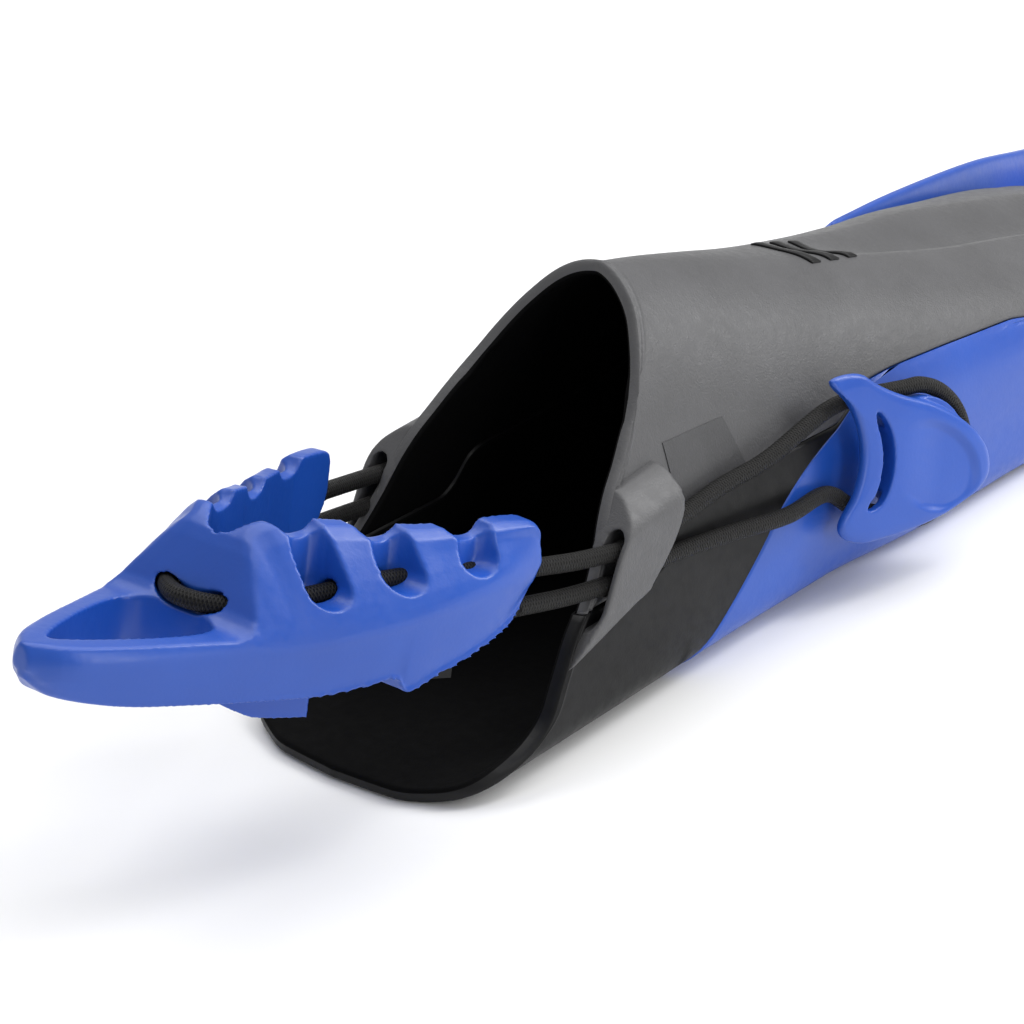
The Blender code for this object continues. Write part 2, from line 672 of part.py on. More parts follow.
def clip_axes():
    """Clip frame: along the clip, up across it, and out from the fin."""
    yaw, tilt = math.radians(CLIP_YAW), math.radians(CLIP_TILT)
    out = np.array([math.cos(tilt) * math.cos(yaw), -math.cos(tilt) * math.sin(yaw), math.sin(tilt)])
    along = np.array([0, math.cos(math.radians(20)), -math.sin(math.radians(20))])
    along -= out * np.dot(along, out)
    along /= np.linalg.norm(along)
    up = np.cross(out, along)
    return along, up, out


def on_clip(a, b, depth=0.0):
    along, up, out = clip_axes()
    return np.array(CLIP_CENTER) + a * along + b * up - depth * out


def closed_outline(points, per_span):
    """Closed smooth outline through hand-chosen points."""
    pts = np.asarray(points, float)
    n = len(pts)
    fine = []
    for i in range(n):
        p0, p1, p2, p3 = pts[i - 1], pts[i], pts[(i + 1) % n], pts[(i + 2) % n]
        for t in np.linspace(0, 1, per_span, endpoint=False):
            a = 2 * p1 + (p2 - p0) * t
            b = (2 * p0 - 5 * p1 + 4 * p2 - p3) * t**2
            c = (3 * p1 - p0 - 3 * p2 + p3) * t**3
            fine.append((a + b + c) / 2)
    return np.array(fine)


def clip_disc(name, center, radius, top, bottom, side, collection, steps=28):
    """Round solid on the clip's axis directions."""
    rings = []
    for depth in (top, bottom):
        ring = []
        for k in range(steps):
            a = 2 * math.pi * k / steps
            ring.append(on_clip(center[0] + radius * math.cos(a), center[1] + radius * math.sin(a), depth))
        rings.append(ring)
    rings = np.array(rings)
    return stacked_rings(name, mirrored(rings) if side < 0 else rings, collection)


def clip_slot(side, collection):
    """Curved slot behind the clip's rear edge."""
    line = smooth_path([(*p, 0) for p in CLIP_SLOT], 4.0)[:, :2]
    run = np.gradient(line, axis=0)
    run /= np.linalg.norm(run, axis=1, keepdims=True)
    aside = np.stack([run[:, 1], -run[:, 0]], 1)
    half = CLIP_SLOT_WIDTH / 2 * np.sin(np.linspace(0.25, math.pi - 0.25, len(line)))
    outline = np.vstack([line + aside * half[:, None], (line - aside * half[:, None])[::-1]])
    rings = np.array([[on_clip(a, b, depth) for a, b in outline] for depth in (-8.0, 14.0)])
    return stacked_rings("clip_slot", mirrored(rings) if side < 0 else rings, collection)


def make_clip(side, collection, cutters, material):
    name = "anchor_clip_right" if side > 0 else "anchor_clip_left"
    outline = closed_outline(CLIP_OUTLINE, 2)
    middle = outline.mean(axis=0)
    rings = []
    for inset, depth in ((0.97, 1.1), (1.0, 0.5), (1.0, -0.6), (0.96, -1.7), (0.80, -2.3)):
        rings.append([on_clip(*(middle + (p - middle) * inset), depth) for p in outline])
    rings = np.array(rings)
    clip = stacked_rings(name, mirrored(rings) if side < 0 else rings, collection)
    combine(clip, clip_disc("hub", HUB, HUB_RADIUS, 0.2, HUB_DEPTH + 1.1, side, cutters, 40), "UNION")
    combine(clip, clip_disc("bore", HUB, POST_RADIUS + GAP, 0.9, 20, side, cutters), "DIFFERENCE")
    combine(clip, clip_slot(side, cutters), "DIFFERENCE")
    clip.data.materials.clear()
    clip.data.materials.append(material)
    axis_point = on_clip(*HUB)
    put_origin(clip, mirrored(axis_point) if side < 0 else axis_point)
    return clip


def anchor_post(side, collection):
    """Post moulded on the arm that carries the clip's hub and the cord's loop."""
    return clip_disc("post", HUB, POST_RADIUS, POST_TOP, POST_FOOT, side, collection, 20)


def front_cord_route():
    """Cord from the guide's upper side to the clip, round its hub and back to the guide's lower side."""
    depth = LOOP_DEPTH
    upper = [(SLOT_X, 69.5, 57.8), (SLOT_X, 84, 57.6), (SLOT_X + 0.2, 102, 57.4)]
    upper += [(skin_x(125, 59) + 4.2, 125, 59), (skin_x(148, 60.6) + 5.6, 148, 60.6)]
    lower = [(54.3, 150, 41.5), (50.6, 124, 44.4), (SLOT_X + 0.6, 100, 46.6), (SLOT_X, 84, 47.6),
             (SLOT_X, 65.5, 48.6)]
    loop = [on_clip(-19, 14.2, depth - 0.5), on_clip(-4, 19.6, depth)]
    for k in range(13):
        a = math.radians(112 - 224 * k / 12)
        loop.append(on_clip(HUB[0] + LOOP_RADIUS * math.cos(a), HUB[1] + LOOP_RADIUS * math.sin(a), depth))
    loop += [on_clip(-2, -16.5, depth - 0.3), on_clip(-15, -12.5, depth - 1.2)]
    return upper + [tuple(p) for p in loop] + lower


def strap_point(x, station, height):
    """Point of the heel strap: x, distance behind the guides' hinge line, and height over the strap line."""
    tilt = math.radians(STRAP_TILT)
    y = HINGE[0] - station * math.cos(tilt) + height * math.sin(tilt)
    z = HINGE[1] + station * math.sin(tilt) + height * math.cos(tilt)
    return np.array([x, y, z])


def guide_to_pad(upper):
    """Straight strand from the guide's rear to the heel pad's wing."""
    end = PAD_CORD_UPPER[0] if upper else PAD_CORD_LOWER[0]
    start = (SLOT_X, 69.5 - CORD_GAP, 57.8) if upper else (SLOT_X, 65.5 - CORD_GAP, 48.6)
    finish = strap_point(end[0] + 0.15, end[1] - GAP, end[2])
    middle = (np.array(start) + finish) / 2 + np.array([0.6, 0, -0.3])
    return smooth_path([start, middle, finish], 9.0)


def pad_cord(points):
    right = [strap_point(*p) for p in points]
    left = [mirrored(p) for p in right[-2::-1]]
    return smooth_path(right + left, 7.0)


def make_cords(collection, material):
    front = smooth_path(front_cord_route(), 8.0)
    for side, word in ((1, "right"), (-1, "left")):
        turn = mirrored if side < 0 else np.asarray
        tube("bungee_front_" + word, turn(front), CORD_RADIUS, collection, material)
        tube("bungee_upper_" + word, turn(guide_to_pad(True)), CORD_RADIUS, collection, material)
        tube("bungee_lower_" + word, turn(guide_to_pad(False)), CORD_RADIUS, collection, material)
    tube("bungee_pad_upper", pad_cord(PAD_CORD_UPPER), CORD_RADIUS, collection, material)
    tube("bungee_pad_lower", pad_cord(PAD_CORD_LOWER), CORD_RADIUS, collection, material)


# --- heel pull ---------------------------------------------------------------------------------


def strap_prism(name, outline, low, high, collection):
    """Upright solid on the strap line from a plan outline of (station, x)."""
    rings = [[strap_point(x, s, h) for s, x in outline] for h in (low, high)]
    return stacked_rings(name, rings, collection)


def both_sides(half):
    """Closed plan outline from its right half, given from one end of the middle line to the other."""
    right = [(s, x) for s, x in half]
    left = [(s, -x) for s, x in half[::-1] if abs(x) > 1e-6]
    return right + left


def pull_envelope(collection):
    """Outer body of the heel pull, front of the wings to the loop's end."""
    rings = []
    for s in (30, 31.5, 34, 38, 44, 52, 59, 63, 66, 74, 85, 96, 105, 109, 112.5, 116, 119.5, 123, 127, 135,
              146, 157, 167, 174, 178.5, 181.5, 183):
        out = float(profile(PULL_OUTER, s))
        ledge = float(smoothstep(112, 128, s))
        wall = min(float(profile(PULL_WALL_X, s)), out - 0.8) * (1 - ledge) + (out - 2.2) * ledge
        top, ridge, foot = (float(profile(t, s)) for t in (PULL_TOP, PULL_RIDGE, PULL_FOOT))
        side = out - wall
        right = [
            (0, top),
            (wall * 0.55, top),
            (wall, top - 0.4),
            (wall + side * 0.42, top + (ridge - top) * 0.34),
            (wall + side * 0.86, top + (ridge - top) * 0.80),
            (out, ridge - 1.5),
            (out - 0.4, ridge - 5.0 if ridge - 5.0 > foot + 2 else (ridge + foot) / 2),
            (out - 2.6, foot + 1.2),
            (out - 4.6 if out > 9 else out * 0.5, foot),
            (0, foot),
        ]
        left = [(-x, h) for x, h in right[-2:0:-1]]
        rings.append([strap_point(x, s, h) for x, h in right + left])
    return stacked_rings("heel_pull", rings, collection)


def notch_outline(station, floor, half, top):
    """U shape in the strap's side view."""
    points = [(station - half, top), (station + half, top)]
    for k in range(9):
        a = -math.pi * k / 8
        points.append((station + half * math.cos(a), floor + half * 0.8 * (1 + math.sin(a))))
    return points


def notch_cutter(notch, side, collection):
    """Finger notch: a U-shaped recess in the wing's sloping face, narrower where it meets the cord."""
    station, floor = notch
    wall = float(profile(PULL_WALL_X, station))
    rings = []
    for x, half in ((wall + 0.4, NOTCH_HALF - 2.6), (wall + 2.0, NOTCH_HALF - 1.2), (wall + 30, NOTCH_HALF)):
        outline = notch_outline(station, floor + (NOTCH_HALF - half) * 0.3, half, 40)
        rings.append([strap_point(side * x, s, h) for s, h in outline])
    return stacked_rings("notch", rings, collection)


def wall_dip(notch, side, collection):
    """Shallow scallop in the wing's top edge behind a notch."""
    station, _ = notch
    wall = float(profile(PULL_WALL_X, station))
    bottom = float(profile(PULL_TOP, station)) - WALL_DIP
    outline = [(station - 7.6, 40), (station + 7.6, 40), (station + 6.4, bottom + 2.4),
               (station + 4.4, bottom + 0.4), (station, bottom), (station - 4.4, bottom + 0.4),
               (station - 6.4, bottom + 2.4)]
    rings = [[strap_point(side * x, s, h) for s, h in outline] for x in (wall - 14, wall + 14)]
    return stacked_rings("dip", rings, collection)


def cup_skirt(collection):
    """Lower edge of the heel cup, hanging below the wings round the back of the heel."""
    half = [(92, 16.8)] + [p for p in CUP_INNER if p[0] > 96]
    line = smooth_path([(s, x, 0) for s, x in half] + [(s, -x, 0) for s, x in half[-2::-1]], 6.0)[:, :2]
    run = np.gradient(line, axis=0)
    run /= np.linalg.norm(run, axis=1, keepdims=True)
    aside = np.stack([run[:, 1] * -1, run[:, 0]], 1)
    if aside[0, 1] < 0:
        aside = -aside
    sheets = []
    for offset in (-1.0, SKIRT_WALL):
        edge = line + aside * offset
        foot = profile(SKIRT_FOOT, line[:, 0])
        rows = []
        for share in (0.0, 1.0):
            rows.append([strap_point(x, s, f * share - 19 * (1 - share)) for (s, x), f in zip(edge, foot)])
        sheets.append(np.array(rows))
    return between_sheets("skirt", sheets[1], sheets[0], collection)


def make_pull(collection, cutters, material):
    pull = pull_envelope(collection)
    combine(pull, cup_skirt(cutters), "UNION")
    cavity = both_sides([(CUP_INNER[-1][0], 0), *CUP_INNER[-2::-1], (20, 0)])
    combine(pull, strap_prism("heel", cavity, -60, 60, cutters), "DIFFERENCE")
    combine(pull, strap_prism("loop", both_sides(FINGER_LOOP), -60, 60, cutters), "DIFFERENCE")
    for side in (1, -1):
        for notch in NOTCHES:
            combine(pull, notch_cutter(notch, side, cutters), "DIFFERENCE")
            combine(pull, wall_dip(notch, side, cutters), "DIFFERENCE")
    for route in (PAD_CORD_UPPER, PAD_CORD_LOWER):
        path = pad_cord(route)
        ends = [path[0] * 2 - path[1], *path, path[-1] * 2 - path[-2]]
        combine(pull, tube("tunnel", ends, CORD_RADIUS + 0.35, cutters), "DIFFERENCE")
    pull.data.materials.clear()
    pull.data.materials.append(material)
    return pull


def make_liner(collection, material):
    """Soft strip along the inside of the heel cup."""
    half = [(s, x) for s, x in CUP_INNER if s >= 50][::-1]
    line = smooth_path([(s, x, 0) for s, x in half[::-1]] + [(s, -x, 0) for s, x in half[1:]], 7.0)[:, :2]
    run = np.gradient(line, axis=0)
    run /= np.linalg.norm(run, axis=1, keepdims=True)
    aside = np.stack([-run[:, 1], run[:, 0]], 1)
    if np.dot(aside[0], [0, -1]) < 0:
        aside = -aside
    near = line + aside * 0.9
    far = line + aside * (0.9 + LINER_DEPTH)
    grids = []
    for edge in (near, far):
        grids.append(np.array([[strap_point(x, s, h) for s, x in edge] for h in (-27.5, -18.0, -8.0)]))
    return between_sheets("heel_pull_liner", grids[0], grids[1], collection, material)


# --- marks -------------------------------------------------------------------------------------


def make_mark(index, row, collection, material):
    """One of three short bars on the instep."""
    x = np.linspace(-13, 13, 9)
    grid = np.zeros((2, 9, 3))
    for i, y in enumerate((row - 1.6, row + 1.6)):
        yy = y - 0.22 * np.abs(x)
        grid[i] = np.stack([x, yy, hull_height(x, yy)], 1)
    low = grid + np.array([0, 0, GAP + 0.1])
    high = grid + np.array([0, 0, GAP + 0.9])
    return between_sheets(f"instep_mark_{index}", high, low, collection, material)


def main():
    for obj in list(bpy.data.objects):
        bpy.data.objects.remove(obj)
    parts = bpy.data.collections.new("swim_fin")
    cutters = bpy.data.collections.new("cutters")
    for c in (parts, cutters):
        bpy.context.scene.collection.children.link(c)
    blue = satin("blue_technopolymer", (0.03, 0.10, 0.50), 0.42)
    grey = satin("grey_rubber", (0.16, 0.16, 0.17), 0.62)
    black = satin("black_rubber", (0.012, 0.012, 0.013), 0.48)
    cord = satin("bungee_braid", (0.006, 0.006, 0.007), 0.75, 0.3)
    strip = satin("channel_rubber", (0.05, 0.05, 0.055), 0.6)
    make_upper(parts, cutters, grey)
    make_sole(parts, cutters, black)
    make_frame(parts, cutters, blue)
    for channel in CHANNELS:
        make_channel(channel, parts, strip)
    for side in (1, -1):
        make_clip(side, parts, cutters, blue)
    make_pull(parts, cutters, blue)
    make_liner(parts, black)
    make_cords(parts, cord)
    for index, row in enumerate(MARK_ROWS, 1):
        make_mark(index, row, parts, black)
    for obj in parts.objects:
        if obj.name.startswith(("heel_pull", "bungee_pad", "bungee_upper", "bungee_lower")):
            put_origin(obj, (0, *HINGE))


main()
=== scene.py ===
"""Looks of the open-heel swim fin: fine skins, moulded parts, braided cord, materials, light and camera."""

import math

import bmesh
import bpy
import numpy as np
from mathutils import Matrix, Vector


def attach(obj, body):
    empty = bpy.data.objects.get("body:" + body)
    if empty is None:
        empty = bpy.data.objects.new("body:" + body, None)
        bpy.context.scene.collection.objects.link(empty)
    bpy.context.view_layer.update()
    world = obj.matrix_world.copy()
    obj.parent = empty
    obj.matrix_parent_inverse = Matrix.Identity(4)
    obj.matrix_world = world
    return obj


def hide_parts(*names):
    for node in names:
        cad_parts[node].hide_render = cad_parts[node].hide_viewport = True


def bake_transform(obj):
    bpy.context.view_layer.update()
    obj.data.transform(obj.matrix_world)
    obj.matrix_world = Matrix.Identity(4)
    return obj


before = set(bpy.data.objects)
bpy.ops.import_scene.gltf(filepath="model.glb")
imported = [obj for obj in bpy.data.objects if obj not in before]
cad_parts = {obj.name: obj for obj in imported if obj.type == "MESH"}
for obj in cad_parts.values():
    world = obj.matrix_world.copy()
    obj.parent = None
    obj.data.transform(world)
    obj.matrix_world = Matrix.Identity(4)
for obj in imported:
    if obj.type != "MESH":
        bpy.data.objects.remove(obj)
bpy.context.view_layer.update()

MM = 0.001
GAP = 0.3  # between touching pieces
Y_SHIFT = 262.5  # from the heel's rear edge to the origin

# The hull: half width, height of the widest line, crest and the two exponents of the upper curve.
HALF_WIDTH = (
    (-10, 49.2), (125, 49.8), (170, 51.8), (225, 54.4), (300, 57.5), (350, 62.5), (400, 69), (450, 76),
    (520, 86), (580, 95), (640, 102),
)
WAIST = (
    (-10, 18), (66, 18), (125, 20), (200, 26), (260, 30), (300, 34), (340, 33), (400, 28),
    (520, 15), (640, 6),
)
CREST = (
    (-10, 140), (66, 132.5), (100, 127), (125, 122), (146, 117.6), (178, 109.5), (200, 103.5), (250, 91),
    (300, 80), (340, 73), (380, 64), (440, 50), (480, 38), (520, 27), (570, 19), (640, 12),
)
SIDE_POWER = ((-10, 2.0), (125, 2.0), (200, 2.2), (250, 2.6), (300, 3.0), (440, 4.0), (640, 5))
CROWN_POWER = ((-10, 1.35), (125, 1.35), (200, 1.6), (250, 1.9), (300, 2.1), (640, 2.1))
VALLEY_DEPTH = ((215, 0), (260, 4), (320, 9), (420, 10), (500, 5), (540, 0.5), (640, 0))
RIDGE_X = ((215, 10), (260, 16), (340, 25), (440, 30), (640, 36))
SOLE_POWER = ((-10, 3.8), (180, 4.0), (250, 6.5), (640, 6.5))
SOLE_FLAT = 1.03  # the lower curve runs this much past the floor, which cuts it off flat

# The pocket opening: how far forward the rim lies at each direction round the section, in degrees.
RIM = (
    (-90, -5.2), (-41, -3.4), (-25, 2.6), (-18, 8.5), (-12.6, 16), (-7.6, 26), (-1, 35), (10, 42), (23, 51),
    (30, 58), (41, 67.5), (49, 73.5), (54, 79), (58, 85.5), (63, 94), (66, 100.5), (70, 106), (75, 112.5),
    (79, 117.3), (84, 121), (90, 124.5),
)
RIM_BEAD = 1.3
UPPER_WALL = 3.6
TONGUE_THINNING = 1.1
SOLE_WALL = 4.6
SOLE_END = 286.0
TONGUE_END = 492.0
TONGUE_NOSE = 20.0

# The line where the grey upper ends and the black sole or the blue rail begins.
SEAM = (
    (40, 43), (94, 43), (100, 46), (107, 55), (114, 57), (188, 57), (198, 61), (207, 65), (222, 65.5),
    (243, 64.6), (270, 62.8), (330, 59),
)
ARM_END = ((0, 101), (8, 112), (20, 128), (32, 144), (40, 154), (48, 168), (53, 180), (57.5, 194), (66, 212))
ARM_INLAY = 2.6
# direction of the arm's lower edge, just under the sole's corner
ARM_FOOT = ((100, -25.5), (125, -27.5), (200, -33), (250, -30.5), (290, -33), (640, -33))
RAIL_WALL = ((285, 2.6), (330, 6.5), (400, 7.5), (520, 7), (640, 5))
RAIL_TOP = ((285, 66), (337, 60.5), (380, 57), (430, 51), (480, 43.5), (530, 33), (590, 20), (640, 13))
RAIL_FOOT = ((285, 0), (600, 0), (640, 5))
RAIL_DRAFT = 4.0
RAIL_CLEAR = 3.2  # of the tongue's edge from the rail's leaning inner face
TIP = 640.0
PANEL_START = 474.0
PANEL_DROP = 4.4
PANEL_WALL = 2.6
TIP_DIP = 12.0

# Strap guide on each side of the pocket: rear edge and front edge as (y, z), and its share of the full bulge.
GUIDE_UPPER = (
    ((60.5, 43.3), (83, 43.3), 1.0), ((64.5, 51), (92, 51), 1.0), ((68.5, 58.5), (97.5, 58), 1.0),
    ((72, 63), (100, 63.5), 0.95), ((75, 66.5), (101, 67.8), 0.7), ((78, 70), (101.5, 71.5), 0.3),
    ((80.5, 73), (101.8, 74.5), 0.02),
)
GUIDE_LOWER = (
    ((60, 42.7), (83, 42.7), 0.97), ((54.5, 38), (74, 40), 0.8), ((50, 33.5), (64, 36), 0.45),
    ((46.5, 29.5), (55, 32), 0.05),
)
GUIDE_FACE_X = 51.6
GUIDE_SLOT_WIDTH = 6.2
GUIDE_SLOT = (38.5, 67.0)
SLOT_X = 47.1

# Anchor clip: its plane and its outline in that plane, from the middle of its rear edge.
CLIP_YAW = 15.0
CLIP_TILT = 11.0
CLIP_CENTER = (60.5, 190.0, 48.0)
CLIP_OUTLINE = (
    (-23, 23.5), (-18, 26.4), (-10.5, 27.2), (-3.5, 24.6), (7, 21.9), (23, 19.4), (38, 14.4), (48, 7.5),
    (51.5, 0), (50, -5.5), (44, -11), (34, -16.8), (21, -22), (8.5, -25.6), (-1.5, -27.6), (-9.3, -26),
    (-11.4, -21.5), (-7.4, -13.5), (-5.6, -5), (-6.2, 3.5), (-9.6, 11.5), (-15, 18),
)
CLIP_SLOT = ((-2.6, 15.5), (3.2, 7), (5.2, -2.7), (3.4, -12), (-1.2, -16.4))
CLIP_SLOT_WIDTH = 5.0
HUB = (21.5, 2.4)
HUB_RADIUS = 19.4
HUB_DEPTH = 6.6
POST_RADIUS = 5.0
POST_TOP = 1.3
POST_FOOT = 16.0
CORD_RADIUS = 2.75
LOOP_RADIUS = 22.6
LOOP_DEPTH = 5.0

# Heel strap frame: the guides' hinge line, the strap's tilt, and stations (distance behind the guides).
HINGE = (66.0, 53.0)
STRAP_TILT = 14.0
PULL_OUTER = (
    (29, 46.5), (45, 47.5), (70, 45), (95, 39), (120, 31.5), (145, 23), (165, 15.5), (176, 10), (183, 3),
)
PULL_WALL_X = ((29, 44), (50, 38.6), (67, 32), (90, 21.5), (104, 16.5), (110, 14.5), (117, 9), (124, 3))
PULL_RIDGE = ((30, 8), (45, 6), (70, 1), (95, -3.5), (120, -6.5), (183, -9.5))
CUP_INNER = ((20, 40.6), (50, 35), (67, 28.4), (88, 18.5), (102, 12.6), (110, 8.6), (115, 4.5), (116.5, 0))
NOTCHES = ((102.0, 0.5), (79.0, 3.2), (54.5, 6.6))  # station and height of the round bottom
NOTCH_HALF = 6.6
WALL_DIP = 4.2  # how far each notch scallops the wall's top edge
SKIRT_FOOT = ((92, -36), (106, -35.5), (112, -33), (116.5, -30))
SKIRT_WALL = 3.6
PAD_CORD_UPPER = (
    (42.2, 27.6, 4.8), (39.5, 42, 5.6), (35.8, 56, 6.0), (29.2, 78, 4.6), (23.5, 98, 2.0), (17.5, 113, -0.6),
    (10, 122.6, -1.4), (0, 126.5, -1.4),
)
PAD_CORD_LOWER = (
    (42.6, 33.2, -6.2), (40, 48, -8), (35, 66, -10.5), (28.5, 84, -13), (20.5, 103, -14.5), (11, 119, -15),
    (0, 124.4, -15),
)
LINER_DEPTH = 1.8
MARK_ROWS = (223.0, 234.0, 245.0)

def profile(points, at):
    """Smooth curve through given points, without overshoot, held level past its ends."""
    x = np.array([p[0] for p in points], float)
    y = np.array([p[1] for p in points], float)
    at = np.clip(np.asarray(at, float), x[0], x[-1])
    step = np.diff(x)
    rise = np.diff(y) / step
    slope = np.zeros_like(y)
    same = rise[:-1] * rise[1:] > 0
    w1 = 2 * step[1:] + step[:-1]
    w2 = step[1:] + 2 * step[:-1]
    safe = np.where(same, rise[:-1], 1.0), np.where(same, rise[1:], 1.0)
    slope[1:-1] = np.where(same, (w1 + w2) / (w1 / safe[0] + w2 / safe[1]), 0.0)
    slope[0] = rise[0]
    slope[-1] = rise[-1]
    k = np.clip(np.searchsorted(x, at, side="right") - 1, 0, len(x) - 2)
    t = (at - x[k]) / step[k]
    h00 = 2 * t**3 - 3 * t**2 + 1
    h10 = t**3 - 2 * t**2 + t
    h01 = -2 * t**3 + 3 * t**2
    h11 = t**3 - t**2
    return h00 * y[k] + h10 * step[k] * slope[k] + h01 * y[k + 1] + h11 * step[k] * slope[k + 1]


def smoothstep(low, high, at):
    t = np.clip((np.asarray(at, float) - low) / (high - low), 0, 1)
    return t * t * (3 - 2 * t)


def hull_height(x, y):
    """Height of the hull's upper surface over (x, y)."""
    half, waist = profile(HALF_WIDTH, y), profile(WAIST, y)
    rise = profile(CREST, y) - waist
    share = np.clip(np.abs(x) / half, 0, 1)
    z = waist + rise * (1 - share ** profile(SIDE_POWER, y)) ** (1 / profile(CROWN_POWER, y))
    across = np.clip(np.abs(x) / profile(RIDGE_X, y), 0, 1)
    return z - profile(VALLEY_DEPTH, y) * (1 - across**2) ** 2


def hull(direction, y):
    """Hull point (x, z) on the right side, at a direction in degrees from the widest line."""
    direction, y = np.broadcast_arrays(np.asarray(direction, float), np.asarray(y, float))
    half, waist = profile(HALF_WIDTH, y), profile(WAIST, y)
    rise = profile(CREST, y) - waist
    c, s = np.cos(np.radians(direction)), np.sin(np.radians(direction))
    c = np.maximum(c, 0)
    upper = s >= 0
    sole_power = profile(SOLE_POWER, y)
    px = np.where(upper, profile(SIDE_POWER, y), sole_power)
    pz = np.where(upper, profile(CROWN_POWER, y), sole_power)
    tall = np.where(upper, rise, waist * SOLE_FLAT)
    low, high = np.zeros_like(c), np.full_like(c, 250.0)
    for _ in range(30):
        r = (low + high) / 2
        outside = (r * c / half) ** px + (r * np.abs(s) / tall) ** pz > 1
        high = np.where(outside, r, high)
        low = np.where(outside, low, r)
    x, z = r * c, waist + r * s
    across = np.clip(x / profile(RIDGE_X, y), 0, 1)
    z = z - np.where(upper, profile(VALLEY_DEPTH, y) * (1 - across**2) ** 2, 0)
    return x, np.maximum(z, 0)


def direction_at(y, height=None, x=None):
    """Direction in which the hull's side, outside the ridges, reaches a height or an x."""
    y = np.asarray(y, float)
    half, waist = profile(HALF_WIDTH, y), profile(WAIST, y)
    rise = profile(CREST, y) - waist
    px, pz = profile(SIDE_POWER, y), profile(CROWN_POWER, y)
    if x is None:
        above = np.clip((height - waist) / rise, 0, 1)
        below = np.clip((waist - height) / (waist * SOLE_FLAT), 0, 1)
        side_up = half * (1 - above**pz) ** (1 / px)
        side_down = half * (1 - below ** profile(SOLE_POWER, y)) ** (1 / profile(SOLE_POWER, y))
        x = np.where(height >= waist, side_up, side_down)
        z = height
    else:
        z = waist + rise * (1 - np.clip(x / half, 0, 1) ** px) ** (1 / pz)
    return np.degrees(np.arctan2(z - waist, x))


def seam_direction(y):
    """Direction of the upper's lower edge: a height beside the pocket, the rail's inner face beyond it."""
    beside = direction_at(y, height=profile(SEAM, y))
    clear = RAIL_CLEAR * smoothstep(330, 470, y)
    inside = direction_at(y, x=profile(HALF_WIDTH, y) - profile(RAIL_WALL, y) - clear)
    share = smoothstep(290, 325, y)
    return beside * (1 - share) + inside * share


def surface_normals(points, center_z):
    """Unit normals of a grid of points, facing away from the hull's middle line."""
    along = np.gradient(points, axis=0)
    across = np.gradient(points, axis=1)
    n = np.cross(along, across)
    n /= np.maximum(np.linalg.norm(n, axis=2, keepdims=True), 1e-9)
    out = points * np.array([1.0, 0.0, 1.0])
    out[:, :, 2] -= center_z
    flip = np.sign(np.sum(n * out, axis=2, keepdims=True))
    return n * np.where(flip == 0, 1, flip)


def smooth_path(points, spacing):
    """Evenly spaced points on a smooth curve through given ones."""
    pts = np.asarray(points, float)
    ext = np.vstack([2 * pts[0] - pts[1], pts, 2 * pts[-1] - pts[-2]])
    fine = []
    for i in range(len(pts) - 1):
        p0, p1, p2, p3 = ext[i : i + 4]
        for t in np.linspace(0, 1, 24, endpoint=False):
            a = 2 * p1 + (p2 - p0) * t
            b = (2 * p0 - 5 * p1 + 4 * p2 - p3) * t**2
            c = (3 * p1 - p0 - 3 * p2 + p3) * t**3
            fine.append((a + b + c) / 2)
    fine.append(pts[-1])
    fine = np.array(fine)
    run = np.concatenate([[0], np.cumsum(np.linalg.norm(np.diff(fine, axis=0), axis=1))])
    stops = np.linspace(0, run[-1], max(2, int(round(run[-1] / spacing)) + 1))
    return np.stack([np.interp(stops, run, fine[:, k]) for k in range(3)], axis=1)


def mirrored(points):
    return np.asarray(points) * np.array([-1.0, 1.0, 1.0])


def skin_x(y, z):
    """Half width of the hull at one height."""
    y = np.array([float(y)])
    return float(hull(direction_at(y, height=float(z)), y)[0][0])


def clip_axes():
    """Clip frame: along the clip, up across it, and out from the fin."""
    yaw, tilt = math.radians(CLIP_YAW), math.radians(CLIP_TILT)
    out = np.array([math.cos(tilt) * math.cos(yaw), -math.cos(tilt) * math.sin(yaw), math.sin(tilt)])
    along = np.array([0, math.cos(math.radians(20)), -math.sin(math.radians(20))])
    along -= out * np.dot(along, out)
    along /= np.linalg.norm(along)
    up = np.cross(out, along)
    return along, up, out


def on_clip(a, b, depth=0.0):
    along, up, out = clip_axes()
    return np.array(CLIP_CENTER) + a * along + b * up - depth * out


def closed_outline(points, per_span):
    """Closed smooth outline through given points."""
    pts = np.asarray(points, float)
    n = len(pts)
    fine = []
    for i in range(n):
        p0, p1, p2, p3 = pts[i - 1], pts[i], pts[(i + 1) % n], pts[(i + 2) % n]
        for t in np.linspace(0, 1, per_span, endpoint=False):
            a = 2 * p1 + (p2 - p0) * t
            b = (2 * p0 - 5 * p1 + 4 * p2 - p3) * t**2
            c = (3 * p1 - p0 - 3 * p2 + p3) * t**3
            fine.append((a + b + c) / 2)
    return np.array(fine)


